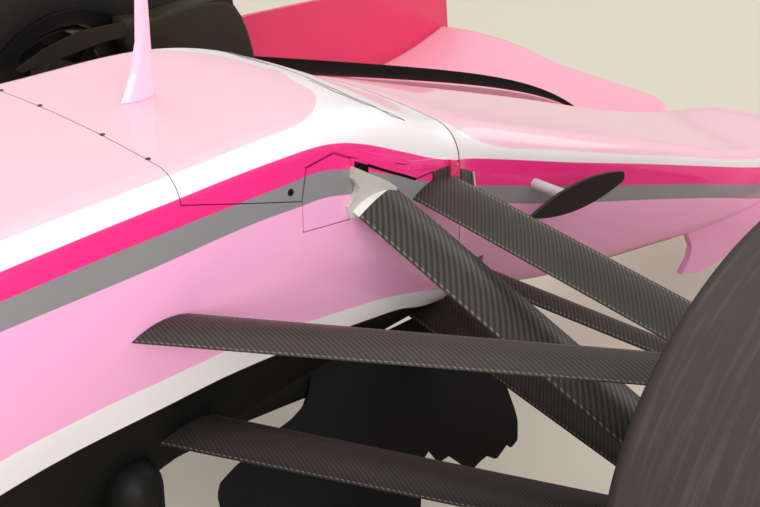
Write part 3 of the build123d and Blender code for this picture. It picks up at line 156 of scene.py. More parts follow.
@dataclass
class Graph:
    """Places and joins shader nodes in one tree."""

    tree: bpy.types.NodeTree

    def node(self, kind: str, **settings: Any) -> bpy.types.Node:
        """Add a node.

        Args:
            kind: the node's type name.
            settings: values of the node's own properties.

        Returns:
            The new node.
        """
        made = self.tree.nodes.new(kind)
        for key, value in settings.items():
            setattr(made, key, value)
        return made

    def feed(self, socket: Socket, value: Any) -> None:
        """Link a socket into another, or write a plain value on it.

        Args:
            socket: the input to fill.
            value: an output socket or a plain value.
        """
        if isinstance(value, bpy.types.NodeSocket):
            self.tree.links.new(value, socket)
        else:
            socket.default_value = value

    def math(self, operation: str, *values: Any, clamp: bool = False) -> Socket:
        """Result of a math node.

        Args:
            operation: the node's operation.
            values: one to three sockets or numbers.
            clamp: keep the result between 0 and 1.

        Returns:
            The value socket.
        """
        made = self.node("ShaderNodeMath", operation=operation, use_clamp=clamp)
        for socket, value in zip(made.inputs, values):
            self.feed(socket, value)
        return made.outputs[0]

    def blend(self, factor: Any, first: Any, second: Any, mode: str = "MIX",
              kind: MixKind = MixKind.COLOUR) -> Socket:
        """Colour or vector between two others.

        Args:
            factor: share of the second one.
            first: value or socket.
            second: value or socket.
            mode: how colours mix.
            kind: what is mixed.

        Returns:
            The mixed socket.
        """
        data_type, first_input, second_input, output = kind.value
        made = self.node("ShaderNodeMix", data_type=data_type, blend_type=mode)
        self.feed(made.inputs[0], factor)
        self.feed(made.inputs[first_input], first)
        self.feed(made.inputs[second_input], second)
        return made.outputs[output]

    def span(self, value: Any, low: float, high: float, to_low: float, to_high: float) -> Socket:
        """Value moved from one range to another and kept inside it.

        Args:
            value: the value to move.
            low: start of its own range.
            high: end of its own range.
            to_low: start of the new range.
            to_high: end of the new range.

        Returns:
            The moved value.
        """
        made = self.node("ShaderNodeMapRange")
        names = ("Value", "From Min", "From Max", "To Min", "To Max")
        for name, number in zip(names, (value, low, high, to_low, to_high)):
            self.feed(made.inputs[name], number)
        return made.outputs[0]

    def noise(self, vector: Any, scale: float, detail: float = 4.0, roughness: float = 0.55) -> Socket:
        """Cloudy value over a surface.

        Args:
            vector: where it is read.
            scale: clouds to a metre.
            detail: how many finer layers it has.
            roughness: how strong those are.

        Returns:
            The value, around a half.
        """
        made = self.node("ShaderNodeTexNoise")
        self.feed(made.inputs["Vector"], vector)
        self.feed(made.inputs["Scale"], scale)
        made.inputs["Detail"].default_value = detail
        made.inputs["Roughness"].default_value = roughness
        return made.outputs[0]

    def object_point(self) -> Socket:
        """Object coordinates of the shaded point."""
        return self.node("ShaderNodeTexCoord").outputs["Object"]

    def object_normal(self) -> Socket:
        """Normal of the shaded point in object space."""
        return self.node("ShaderNodeTexCoord").outputs["Normal"]

    def parts(self, vector: Any) -> tuple[Socket, Socket, Socket]:
        """X, Y and Z of a vector.

        Args:
            vector: the vector socket.

        Returns:
            The three value sockets.
        """
        made = self.node("ShaderNodeSeparateXYZ")
        self.feed(made.inputs[0], vector)
        return made.outputs[0], made.outputs[1], made.outputs[2]

    def joined(self, *values: Any) -> Socket:
        """Vector made of three values.

        Args:
            values: its X, Y and Z, each a socket or a number.

        Returns:
            The vector socket.
        """
        made = self.node("ShaderNodeCombineXYZ")
        for socket, value in zip(made.inputs, values):
            self.feed(socket, value)
        return made.outputs[0]

    def bump(self, shader: bpy.types.Node, height: Socket, strength: float, depth: float) -> None:
        """Give a shader a fine relief.

        Args:
            shader: the shader node.
            height: height of the relief.
            strength: how far it tilts the normal.
            depth: its full height, in metres.
        """
        made = self.node("ShaderNodeBump")
        made.inputs["Strength"].default_value = strength
        made.inputs["Distance"].default_value = depth
        self.feed(made.inputs["Height"], height)
        self.feed(shader.inputs["Normal"], made.outputs[0])

    def curve(self, value: Any, points: Sequence[tuple[float, float]]) -> Socket:
        """Value read off a drawn curve.

        Args:
            value: where along the curve, 0 to 1.
            points: the curve's points, each from 0 to 1.

        Returns:
            The curve's height there.
        """
        made = self.node("ShaderNodeFloatCurve")
        line = made.mapping.curves[0]
        while len(line.points) < len(points):
            line.points.new(0.5, 0.5)
        for point, (along, height) in zip(line.points, points):
            point.location = (along, height)
            point.handle_type = "AUTO"
        made.mapping.update()
        self.feed(made.inputs["Value"], value)
        return made.outputs[0]

    def group(self, effect: bpy.types.NodeTree, **values: Any) -> bpy.types.Node:
        """Place an effect group with its values.

        Args:
            effect: the shared node group.
            values: inputs by name, with spaces written as underscores.

        Returns:
            The placed group node.
        """
        made = self.node("ShaderNodeGroup", node_tree=effect)
        for key, value in values.items():
            self.feed(made.inputs[key.replace("_", " ")], value)
        return made


class Effect:
    """Shared effects, each a shader node group that is built once."""

    TWILL_REPEAT = 4.0
    TOWS_OVER = 1.5
    CLOUD_DETAILS = (3.0, 5.0)
    CLOUD_SHARES = (0.6, 0.4)
    CLOUD_RANGE = (0.35, 0.65)
    _built: dict[str, bpy.types.NodeTree] = {}

    @classmethod
    def build(cls, name: str, inputs: Sequence[tuple[str, str, Any]], outputs: Sequence[tuple[str, str]],
              body: Callable[[Graph, dict[str, Socket]], dict[str, Socket]]) -> bpy.types.NodeTree:
        """Make a group, or give back the one made before.

        Args:
            name: the group's name.
            inputs: name, socket type and default of each input.
            outputs: name and socket type of each output.
            body: builds the nodes and gives back what feeds each output.

        Returns:
            The node group.
        """
        if name in cls._built:
            return cls._built[name]
        tree = bpy.data.node_groups.new(name, "ShaderNodeTree")
        for label, kind, default in inputs:
            socket = tree.interface.new_socket(label, in_out="INPUT", socket_type="NodeSocket" + kind)
            if default is not None:
                socket.default_value = default
        for label, kind in outputs:
            tree.interface.new_socket(label, in_out="OUTPUT", socket_type="NodeSocket" + kind)
        graph = Graph(tree)
        entry = graph.node("NodeGroupInput")
        exit_node = graph.node("NodeGroupOutput")
        results = body(graph, {label: entry.outputs[label] for label, _, _ in inputs})
        for label, socket in results.items():
            graph.feed(exit_node.inputs[label], socket)
        cls._built[name] = tree
        return tree

    @classmethod
    def twill(cls) -> bpy.types.NodeTree:
        """Two by two twill cloth laid along an axis, mirrored on the car's other side.

        Returns:
            Group with the tow on top, the height of its round back and the slanting rib.
        """
        def body(graph: Graph, given: dict[str, Socket]) -> dict[str, Socket]:
            """Nodes of the cloth.

            Args:
                graph: the group's tree.
                given: the group's input sockets.

            Returns:
                What feeds each output.
            """
            x, y, z = graph.parts(given["Vector"])
            axis_x, axis_y, axis_z = graph.parts(given["Axis"])
            along = graph.math("ADD", graph.math("MULTIPLY", axis_x, x),
                               graph.math("MULTIPLY", axis_y, graph.math("ABSOLUTE", y)))
            along = graph.math("ADD", along, graph.math("MULTIPLY", axis_z, z))
            width = graph.math("SQRT", graph.math("SUBTRACT", 1.0, graph.math("MULTIPLY", axis_x, axis_x)))
            across = graph.math("SUBTRACT", graph.math("MULTIPLY", axis_x, along), x)
            first = graph.math("DIVIDE", along, given["Tow"])
            second = graph.math("DIVIDE", graph.math("DIVIDE", across, width), given["Tow"])
            step = graph.math("SUBTRACT", graph.math("FLOOR", first), graph.math("FLOOR", second))
            place_in_repeat = graph.math("FLOORED_MODULO", step, cls.TWILL_REPEAT)
            warp = graph.math("LESS_THAN", place_in_repeat, cls.TOWS_OVER)
            back_one = graph.math("SINE", graph.math("MULTIPLY", graph.math("FRACT", second), math.pi))
            back_two = graph.math("SINE", graph.math("MULTIPLY", graph.math("FRACT", first), math.pi))
            height = graph.math("ADD", graph.math("MULTIPLY", back_one, warp),
                                graph.math("MULTIPLY", back_two, graph.math("SUBTRACT", 1.0, warp)))
            slant = graph.math("DIVIDE", graph.math("SUBTRACT", first, second), cls.TWILL_REPEAT)
            rib = graph.math("SINE", graph.math("MULTIPLY", slant, 2.0 * math.pi))
            return {"Warp": warp, "Height": height, "Rib": graph.span(rib, -1.0, 1.0, 0.0, 1.0)}

        return cls.build("twill_cloth", (("Vector", "Vector", None), ("Axis", "Vector", (0.0, 1.0, 0.0)),
                                         ("Tow", "Float", 0.002)),
                         (("Warp", "Float"), ("Height", "Float"), ("Rib", "Float")), body)

    @classmethod
    def clouds(cls) -> bpy.types.NodeTree:
        """Two sizes of soft patches that vary a finish.

        Returns:
            Group with the patches, from 0 to 1.
        """
        def body(graph: Graph, given: dict[str, Socket]) -> dict[str, Socket]:
            """Nodes of the patches.

            Args:
                graph: the group's tree.
                given: the group's input sockets.

            Returns:
                What feeds each output.
            """
            layers = [graph.math("MULTIPLY", graph.noise(given["Vector"], given[size], detail), share)
                      for size, detail, share in zip(("Large", "Small"), cls.CLOUD_DETAILS, cls.CLOUD_SHARES)]
            return {"Value": graph.span(graph.math("ADD", *layers), *cls.CLOUD_RANGE, 0.0, 1.0)}

        return cls.build("soft_patches", (("Vector", "Vector", None), ("Large", "Float", 4.0),
                                          ("Small", "Float", 60.0)), (("Value", "Float"),), body)

    @classmethod
    def livery(cls) -> bpy.types.NodeTree:
        """Painted bands of the body, by place along the car."""
        return cls.build("body_bands", (("Vector", "Vector", None), ("Normal", "Vector", None)),
                         (("Color", "Color"), ("Dull", "Float")), Bands().nodes)


@dataclass(frozen=True)
class Bands:
    """Edges of the painted bands, in millimetres from the axle and above the ground or out from the middle.

    The faces that look inwards, and the end faces at the joint and the bulkhead, are bare.
    """

    white_edge: Line = (
        (-2150, 625), (-1450, 630), (-800, 619), (-467, 618), (-288, 617), (-223, 613), (-188, 606),
        (-153, 594), (-74, 558), (13, 517), (58, 501), (229, 447), (417, 387), (640, 314), (834, 250),
        (1010, 196), (1145, 160),
    )
    magenta_edge: Line = (
        (-2150, 596), (-1450, 600), (-800, 592), (-475, 588), (-294, 585), (-228, 583), (-193, 574),
        (-115, 543), (-31, 503), (58, 462), (187, 422), (467, 337), (638, 284), (834, 220), (1010, 170),
        (1145, 132),
    )
    grey_edge: Line = (
        (-2150, 568), (-1450, 572), (-800, 566), (-507, 555), (-330, 555), (-265, 551), (-231, 549),
        (-196, 542), (-115, 511), (-31, 472), (58, 436), (186, 395), (365, 342), (581, 277), (701, 239),
        (850, 185), (1010, 128), (1145, 80),
    )
    flank_edge: Line = (
        (-2150, 380), (-1450, 400), (-708, 418), (-596, 411), (-480, 403), (-350, 397), (-180, 368),
        (-101, 353), (-16, 329), (36, 311), (229, 253), (330, 215), (480, 100), (1145, 20),
    )
    sill_edge: Line = (
        (-2150, 330), (-1450, 350), (-707, 368), (-476, 358), (-351, 355), (-92, 322), (-51, 314),
        (-1, 295), (49, 282), (173, 257), (288, 224), (400, 90), (1145, 10),
    )
    tub_panel: Line = (
        (-2150, 205), (-1450, 215), (-800, 212), (-659, 204), (-558, 197), (-332, 183), (-264, 179),
        (-240, 176), (-212, 166), (-188, 148), (-151, 110), (-135, 80), (-127, 40), (-122, 0), (1145, 0),
    )
    nose_panel: Line = (
        (-2150, 110), (50, 112), (68, 133), (98, 142), (153, 149), (233, 154), (322, 156), (529, 152),
        (771, 146), (1010, 112), (1145, 50),
    )
    mid_height: Line = (
        (-2150, 385), (-1100, 375), (-560, 435), (-200, 450), (55, 410), (250, 362), (450, 312), (650, 262),
        (850, 215), (1010, 200), (1145, 186),
    )
    soft_edge: float = 0.0012
    bay_end: float = 0.145
    seam_half: float = 0.0016
    end_reach: float = 0.004
    end_squareness: float = 0.96
    inward_limit: float = -0.004

    def nodes(self, graph: Graph, given: dict[str, Socket]) -> dict[str, Socket]:
        """Build the bands.

        Args:
            graph: the group's tree.
            given: the group's input sockets.

        Returns:
            The colour, and a mask of the dull black faces, bare inside or under the sill.
        """
        x, y, z = graph.parts(given["Vector"])
        height = graph.math("ADD", z, MOUNT_HEIGHT)
        from_joint = graph.math("ABSOLUTE", graph.math("SUBTRACT", x, AXLE_X + JOINT_X / 1000))
        under_sill = self.below(graph, x, height, self.sill_edge)
        colour = self.panels(graph, x, graph.math("ABSOLUTE", y))
        colour = graph.blend(self.below(graph, x, height, self.white_edge), colour, Tint.MAGENTA.value)
        colour = graph.blend(self.below(graph, x, height, self.magenta_edge), colour, Tint.GREY.value)
        colour = graph.blend(self.below(graph, x, height, self.grey_edge), colour, Tint.FLANK_PINK.value)
        colour = graph.blend(self.below(graph, x, height, self.flank_edge), colour, Tint.WHITE.value)
        colour = graph.blend(under_sill, colour, Tint.CARBON.value)
        seam = graph.math("SUBTRACT", 1.0, graph.math("DIVIDE", from_joint, self.seam_half), clamp=True)
        colour = graph.blend(seam, colour, Tint.GAP.value)
        normal_x, normal_y, normal_z = graph.parts(given["Normal"])
        from_middle = graph.math("SUBTRACT", height, self.edge(graph, x, self.mid_height, LIVERY_HEIGHT))
        facing = graph.math("ADD", graph.math("MULTIPLY", normal_y, y),
                            graph.math("MULTIPLY", normal_z, from_middle))
        inward = graph.math("MULTIPLY", graph.math("LESS_THAN", facing, self.inward_limit),
                            graph.math("LESS_THAN", x, AXLE_X + self.bay_end))
        square = graph.math("GREATER_THAN", graph.math("ABSOLUTE", normal_x), self.end_squareness)
        at_end = graph.math("MAXIMUM", graph.math("LESS_THAN", from_joint, self.end_reach),
                            graph.math("LESS_THAN", x, self.end_reach))
        bare = graph.math("MAXIMUM", inward, graph.math("MULTIPLY", square, at_end))
        return {"Color": graph.blend(bare, colour, Tint.CARBON.value),
                "Dull": graph.math("MAXIMUM", bare, under_sill)}

    @staticmethod
    def edge(graph: Graph, x: Socket, points: Line, full: float) -> Socket:
        """Height or half width of an edge at the shaded point.

        Args:
            graph: the group's tree.
            x: the point's place along the car.
            points: the edge's points, in millimetres.
            full: what the curve's full height stands for, in metres.

        Returns:
            The edge's height or half width, in metres.
        """
        drawn = [((AXLE_X + along / 1000) / LIVERY_LENGTH, value / 1000 / full) for along, value in points]
        share = graph.math("DIVIDE", x, LIVERY_LENGTH)
        return graph.math("MULTIPLY", graph.curve(share, drawn), full)

    def soft_step(self, graph: Graph, gap: Socket) -> Socket:
        """1 where a gap is above nothing and 0 where it is below, with a narrow soft edge."""
        return graph.math("ADD", graph.math("DIVIDE", gap, self.soft_edge), 0.5, clamp=True)

    def below(self, graph: Graph, x: Socket, height: Socket, points: Line) -> Socket:
        """1 below an edge of the bands and 0 above it."""
        edge = self.edge(graph, x, points, LIVERY_HEIGHT)
        return self.soft_step(graph, graph.math("SUBTRACT", edge, height))

    def panels(self, graph: Graph, x: Socket, out: Socket) -> Socket:
        """White body with the pale pink panels on top of chassis and nose.

        Args:
            graph: the group's tree.
            x: the shaded point's place along the car.
            out: its distance from the centre plane.

        Returns:
            The colour socket.
        """
        on_nose = graph.math("GREATER_THAN", x, AXLE_X + JOINT_X / 1000)
        nose_width = graph.math("MULTIPLY", self.edge(graph, x, self.nose_panel, LIVERY_WIDTH), on_nose)
        half_width = graph.math("MAXIMUM", self.edge(graph, x, self.tub_panel, LIVERY_WIDTH), nose_width)
        panel = self.soft_step(graph, graph.math("SUBTRACT", half_width, out))
        return graph.blend(panel, Tint.WHITE.value, Tint.PALE_PINK.value)


@dataclass(frozen=True)
class Finish:
    """A finish that covers whole pieces: a base colour with patches, a sheen and a fine relief."""

    name: str
    colour: Colour
    patch_colour: Colour
    roughness: float = 0.5
    roughness_swing: float = 0.1
    metallic: float = 0.0
    coat: float = 0.0
    coat_roughness: float = 0.1
    patch_share: float = 0.35
    large: float = 5.0
    small: float = 90.0
    relief: float = 0.0
    relief_depth: float = 0.0005
    relief_scale: float = 600.0
    relief_detail: float = 3.0
    specular: float = 0.5

    def material(self) -> bpy.types.Material:
        """The finish as a material, made once."""
        return bpy.data.materials.get(self.name) or self.build()

    def patches(self, graph: Graph, point: Socket) -> Socket:
        """Soft patches that vary the finish, from 0 to 1."""
        return graph.group(Effect.clouds(), Vector=point, Large=self.large, Small=self.small).outputs[0]

    def start(self) -> tuple[bpy.types.Material, Graph, bpy.types.Node]:
        """A new material with its shader placed.

        Returns:
            The material, its graph and the shader node.
        """
        made = bpy.data.materials.new(self.name)
        made.use_nodes = True
        graph = Graph(made.node_tree)
        shader = made.node_tree.nodes["Principled BSDF"]
        shader.inputs["Metallic"].default_value = self.metallic
        shader.inputs["Coat Weight"].default_value = self.coat
        shader.inputs["Coat Roughness"].default_value = self.coat_roughness
        shader.inputs["Specular IOR Level"].default_value = self.specular
        return made, graph, shader

    def build(self) -> bpy.types.Material:
        """Build the finish's nodes.

        Returns:
            The new material.
        """
        made, graph, shader = self.start()
        point = graph.object_point()
        patches = self.patches(graph, point)
        share = graph.math("MULTIPLY", patches, self.patch_share)
        graph.feed(shader.inputs["Base Color"], graph.blend(share, self.colour, self.patch_colour))
        rough = graph.span(patches, 0.0, 1.0, self.roughness - self.roughness_swing,
                           self.roughness + self.roughness_swing)
        graph.feed(shader.inputs["Roughness"], rough)
        if self.relief:
            height = graph.noise(point, self.relief_scale, self.relief_detail)
            graph.bump(shader, height, self.relief, self.relief_depth)
        return made


@dataclass(frozen=True)
class BodyPaint(Finish):
    """Clear coated livery paint over the body, with bare carbon inside."""

    large: float = 2.5
    small: float = 40.0
    patch_share: float = 0.05
    patch_shade: Colour = paint(200, 190, 196)
    dull_roughness: float = 0.6
    relief: float = 0.03
    relief_depth: float = 0.001
    relief_scale: float = 180.0
    relief_detail: float = 2.0

    def build(self) -> bpy.types.Material:
        """Build the paint's nodes.

        Returns:
            The new material.
        """
        made, graph, shader = self.start()
        point = graph.object_point()
        bands = graph.group(Effect.livery(), Vector=point, Normal=graph.object_normal())
        dull = bands.outputs["Dull"]
        share = graph.math("MULTIPLY", self.patches(graph, point), self.patch_share)
        colour = graph.blend(share, bands.outputs["Color"], self.patch_shade, "MULTIPLY")
        graph.feed(shader.inputs["Base Color"], colour)
        rough = graph.span(dull, 0.0, 1.0, self.roughness, self.dull_roughness)
        graph.feed(shader.inputs["Roughness"], rough)
        graph.feed(shader.inputs["Coat Weight"], graph.span(dull, 0.0, 1.0, self.coat, 0.0))
        height = graph.noise(point, self.relief_scale, self.relief_detail)
        graph.bump(shader, height, self.relief, self.relief_depth)
        return made


@dataclass(frozen=True)
class LegLine:
    """Centre line of a carbon leg on the left, from its root to its tip, in millimetres."""

    root: Point
    tip: Point

    def axis(self) -> Vector:
        """Unit vector from root to tip."""
        return (Vector(self.tip) - Vector(self.root)).normalized()

    def slope(self) -> float:
        """How far the centre line moves along X for each step outboard."""
        return (self.tip[0] - self.root[0]) / (self.tip[1] - self.root[1])

    def offset(self) -> float:
        """X of the centre line, in the frame, where it would cross the centre plane."""
        return AXLE_X + (self.root[0] - self.slope() * self.root[1]) / 1000


@dataclass(frozen=True)
class WovenCarbon(Finish):
    """Clear coated carbon cloth laid along its legs, with bright seams beside the edges. The tows' light and
    dark along the slanting rib is painted sheen, and their darker hollows are painted shade.

    Each seam is given by its distance ahead of the leg's centre line, its half width and its strength.
    """

    coat: float = 0.15
    coat_roughness: float = 0.3
    large: float = 9.0
    small: float = 400.0
    relief: float = 0.35
    legs: tuple[LegLine, ...] = (LegLine((0, 0, 0), (0, 100, 0)),)
    tow: float = 0.0017
    seam_colour: Colour = paint(154, 147, 132)
    seam_edges: tuple[Point, ...] = ()
    dash: tuple[float, float, float, float] = (0.35, 0.75, 0.1, 1.0)
    # Painted shade: how dark the hollows between the tows' round backs are.
    painted_hollow_shade: float = 0.45
    hollow_rough: float = 0.1
    rib_gloss: float = 0.05
    back_share: float = 0.5

    def lay(self, graph: Graph, point: Socket) -> tuple[Socket, Socket]:
        """Find the leg under the shaded point.

        Args:
            graph: the material's tree.
            point: object coordinates.

        Returns:
            The leg's axis, and the distance ahead of its centre line.
        """
        x, y, _ = graph.parts(point)
        out = graph.math("ABSOLUTE", y)
        ahead = [graph.math("SUBTRACT", x, graph.math("MULTIPLY_ADD", out, leg.slope(), leg.offset()))
                 for leg in self.legs]
        if len(self.legs) == 1:
            return graph.joined(*self.legs[0].axis()), ahead[0]
        on_front = graph.math("GREATER_THAN", graph.math("ADD", ahead[0], ahead[1]), 0.0)
        axis = graph.blend(on_front, self.legs[1].axis(), self.legs[0].axis(), kind=MixKind.VECTOR)
        gap = graph.math("SUBTRACT", ahead[0], ahead[1])
        return axis, graph.math("MULTIPLY_ADD", on_front, gap, ahead[1])

    def build(self) -> bpy.types.Material:
        """Build the cloth's nodes.

        Returns:
            The new material.
        """
        made, graph, shader = self.start()
        point = graph.object_point()
        axis, ahead = self.lay(graph, point)
        cloth = graph.group(Effect.twill(), Vector=point, Axis=axis, Tow=self.tow)
        rib, height = cloth.outputs["Rib"], cloth.outputs["Height"]
        # Painted sheen and shade: the tow colour is lighter on the slanting rib and darker in the hollows.
        painted_sheen_and_shade = graph.math("MULTIPLY", rib, graph.span(height, 0.0, 1.0, self.painted_hollow_shade, 1.0))
        tow = graph.blend(painted_sheen_and_shade, self.patch_colour, self.colour)
        dark = graph.math("MULTIPLY", self.patches(graph, point), self.patch_share)
        cloth_colour = graph.blend(dark, tow, self.patch_colour)
        seam: Any = 0.0
        for centre, half, strength in self.seam_edges:
            away = graph.math("ABSOLUTE", graph.math("SUBTRACT", ahead, centre / 1000))
            line = graph.math("SUBTRACT", 1.0, graph.math("DIVIDE", away, half / 1000), clamp=True)
            seam = graph.math("MAXIMUM", seam, graph.math("MULTIPLY", line, strength))
        dashes = graph.math("MULTIPLY", seam, graph.span(rib, *self.dash))
        graph.feed(shader.inputs["Base Color"], graph.blend(dashes, cloth_colour, self.seam_colour))
        graph.feed(shader.inputs["Roughness"], graph.span(rib, 0.0, 1.0, self.roughness + self.hollow_rough,
                                                          self.roughness - self.rib_gloss))
        relief = graph.math("ADD", graph.math("MULTIPLY", height, self.back_share), rib)
        graph.bump(shader, relief, self.relief, self.relief_depth)
        return made


@dataclass(frozen=True)
class WornRubber(Finish):
    """Slick tyre rubber: warm grey tread with scuffs, blacker walls."""

    large: float = 7.0
    small: float = 55.0
    patch_share: float = 0.4
    relief: float = 0.25
    relief_depth: float = 0.0006
    relief_scale: float = 420.0
    relief_detail: float = 5.0
    tread_start: float = 0.312
    tread_end: float = 0.324
    tread_colour: Colour = paint(68, 63, 59)
    scuff_colour: Colour = paint(100, 94, 88)
    scuff_share: float = 0.35
    scuff_scale: float = 2.2
    scuff_detail: float = 6.0
    scuff_roughness: float = 0.5
    scuff_range: tuple[float, float] = (0.52, 0.7)
    scuff_stretch: Point = (40.0, 60.0, 1.5)
    worn_roughness: float = 0.85

    def build(self) -> bpy.types.Material:
        """Build the rubber's nodes.

        Returns:
            The new material.
        """
        made, graph, shader = self.start()
        point = graph.object_point()
        x, y, z = graph.parts(point)
        ahead = graph.math("SUBTRACT", x, AXLE_X)
        up = graph.math("SUBTRACT", z, AXLE_HEIGHT / 1000 - MOUNT_HEIGHT)
        radius = graph.math("SQRT", graph.math("ADD", graph.math("MULTIPLY", ahead, ahead),
                                               graph.math("MULTIPLY", up, up)))
        tread = graph.span(radius, self.tread_start, self.tread_end, 0.0, 1.0)
        patches = self.patches(graph, point)
        round_tyre = graph.math("ARCTAN2", up, ahead)
        stretched = graph.joined(*(graph.math("MULTIPLY", value, stretch)
                                   for value, stretch in zip((radius, y, round_tyre), self.scuff_stretch)))
        scuffs = graph.noise(stretched, self.scuff_scale, self.scuff_detail, self.scuff_roughness)
        scuffs = graph.span(scuffs, *self.scuff_range, 0.0, 1.0)
        wall = graph.blend(graph.math("MULTIPLY", patches, self.patch_share), self.colour, self.patch_colour)
        scuffed = graph.math("MULTIPLY", scuffs, self.scuff_share)
        worn = graph.blend(scuffed, self.tread_colour, self.scuff_colour)
        graph.feed(shader.inputs["Base Color"], graph.blend(tread, wall, worn))
        rough = graph.span(patches, 0.0, 1.0, self.roughness, self.worn_roughness)
        graph.feed(shader.inputs["Roughness"], rough)
        height = graph.noise(point, self.relief_scale, self.relief_detail)
        graph.bump(shader, height, self.relief, self.relief_depth)
        return made


@dataclass(frozen=True)
class PodBlack(Finish):
    """Black pod with a pale foot where it meets the nose."""

    foot_y: float = 0.238
    foot_fade: float = 0.004
    foot_colour: Colour = paint(206, 200, 204)

    def build(self) -> bpy.types.Material:
        """Build the pod's nodes.

        Returns:
            The new material.
        """
        made, graph, shader = self.start()
        point = graph.object_point()
        out = graph.math("ABSOLUTE", graph.parts(point)[1])
        foot = graph.math("DIVIDE", graph.math("SUBTRACT", self.foot_y, out), self.foot_fade, clamp=True)
        patches = self.patches(graph, point)
        black = graph.blend(graph.math("MULTIPLY", patches, self.patch_share), self.colour, self.patch_colour)
        graph.feed(shader.inputs["Base Color"], graph.blend(foot, black, self.foot_colour))
        rough = graph.span(patches, 0.0, 1.0, self.roughness, self.roughness + self.roughness_swing)
        graph.feed(shader.inputs["Roughness"], rough)
        return made


@dataclass(frozen=True)
class BrushedMetal(Finish):
    """Machined or brushed metal with fine lines along one axis."""

    lines: Point = (30.0, 900.0, 900.0)
    relief: float = 0.12
    relief_depth: float = 0.0002
    streak_range: tuple[float, float] = (0.3, 0.7)

    def build(self) -> bpy.types.Material:
        """Build the metal's nodes.

        Returns:
            The new material.
        """
        made, graph, shader = self.start()
        point = graph.object_point()
        mapping = graph.node("ShaderNodeMapping")
        mapping.inputs["Scale"].default_value = self.lines
        graph.feed(mapping.inputs["Vector"], point)
        streaks = graph.noise(mapping.outputs[0], 1.0)
        share = graph.math("MULTIPLY", self.patches(graph, point), self.patch_share)
        graph.feed(shader.inputs["Base Color"], graph.blend(share, self.colour, self.patch_colour))
        rough = graph.span(streaks, *self.streak_range, self.roughness - self.roughness_swing,
                           self.roughness + self.roughness_swing)
        graph.feed(shader.inputs["Roughness"], rough)
        graph.bump(shader, streaks, self.relief, self.relief_depth)
        return made


BODY_PAINT = BodyPaint("body_paint", Tint.WHITE.value, Tint.WHITE.value, 0.35, coat=0.6, coat_roughness=0.06,
                       specular=0.15)
PALE_PAINT = Finish("pale_pink_paint", paint(251, 206, 230), paint(240, 194, 220), 0.32, 0.05, coat=0.6,
                    patch_share=0.15)
MAGENTA_PAINT = Finish("magenta_paint", paint(232, 50, 104), paint(214, 40, 94), 0.32, 0.05, coat=0.6,
                       patch_share=0.15)
WING_PAINT = Finish("wing_pink_paint", paint(250, 176, 197), paint(244, 162, 184), 0.32, 0.05, coat=0.6,
                    patch_share=0.15)
# Tow colours of the arm carbon: the light one is painted sheen on the weave; the dark one is both the unlit
# tow and the cloth's dark patches.
PAINTED_SHEEN_TOW = paint(76, 68, 58)
TOW_DARK = paint(40, 36, 31)
UPPER_LEGS = (LegLine((-7, 184, 485), (-17, 725, 433)), LegLine((-489, 215, 479), (-17, 725, 433)))
LOWER_LEGS = (LegLine((38, 141, 273), (-10, 737, 205)), LegLine((-424, 174, 297), (-10, 737, 205)))
PUSHROD_LEG = (LegLine((-142, 192, 524), (-31, 698, 244)),)
TRACK_ROD_LEG = (LegLine((95, 150, 318), (95, 680, 336)),)
UPPER_CARBON = WovenCarbon("upper_arm_carbon", PAINTED_SHEEN_TOW, TOW_DARK, 0.45, legs=UPPER_LEGS,
                           seam_edges=((-41.5, 1.3, 0.6), (36.0, 2.2, 0.9)), specular=0.25)
# Darker copy of the arm carbon: painted shade for the lower arms, which sit in the car's shadow.
SHADED_LOWER_CARBON = WovenCarbon("lower_arm_carbon_painted_shade", paint(58, 51, 46), paint(34, 30, 27), 0.45, legs=LOWER_LEGS,
                           seam_edges=((-41.5, 1.2, 0.6), (41.0, 1.2, 0.35)), specular=0.15)
# The pushrod's lighter tow colour is painted sheen on the weave too.
PUSHROD_CARBON = WovenCarbon("pushrod_carbon", paint(78, 71, 61), paint(30, 28, 25), 0.42, legs=PUSHROD_LEG,
                             tow=0.0025, seam_edges=((-38.6, 1.3, 0.7),), specular=0.25)
ROD_CARBON = WovenCarbon("track_rod_carbon", PAINTED_SHEEN_TOW, TOW_DARK, 0.45, legs=TRACK_ROD_LEG,
                         seam_edges=((-17.5, 1.3, 0.6),), specular=0.25)
SHELL_CARBON = WovenCarbon("shell_carbon", PAINTED_SHEEN_TOW, TOW_DARK, 0.42, coat=0.2)
SATIN_CARBON = Finish("satin_carbon", paint(22, 21, 21), paint(38, 36, 35), 0.5, 0.08, relief=0.1,
                      specular=0.2)
DUCT_CARBON = Finish("duct_carbon", paint(50, 46, 34), paint(32, 29, 24), 0.55, 0.1, relief=0.15,
                     specular=0.2)
SATIN_BLACK = Finish("satin_black", paint(14, 14, 14), paint(28, 27, 26), 0.5, 0.08, specular=0.2)
SILVER = BrushedMetal("silver_fitting", paint(226, 222, 214), paint(204, 200, 190), 0.34, 0.08, metallic=0.3,
                      lines=(900.0, 60.0, 900.0))
STEEL = BrushedMetal("ground_steel", paint(168, 168, 170), paint(120, 120, 122), 0.3, 0.1, metallic=1.0)
ALLOY = BrushedMetal("machined_alloy", paint(176, 177, 180), paint(140, 141, 144), 0.38, 0.1, metallic=1.0)
DARK_ALLOY = BrushedMetal("anodised_alloy", paint(74, 74, 78), paint(52, 52, 56), 0.42, 0.1, metallic=1.0)
DISC_CARBON = Finish("disc_carbon", paint(42, 41, 42), paint(70, 68, 68), 0.6, 0.1, relief=0.3, small=300.0)
WHEEL_PAINT = Finish("wheel_paint", paint(18, 18, 19), paint(32, 32, 32), 0.42, 0.08, coat=0.1, specular=0.3)
TYRE_RUBBER = WornRubber("tyre_rubber", paint(34, 32, 30), paint(54, 50, 47), 0.62, specular=0.3)
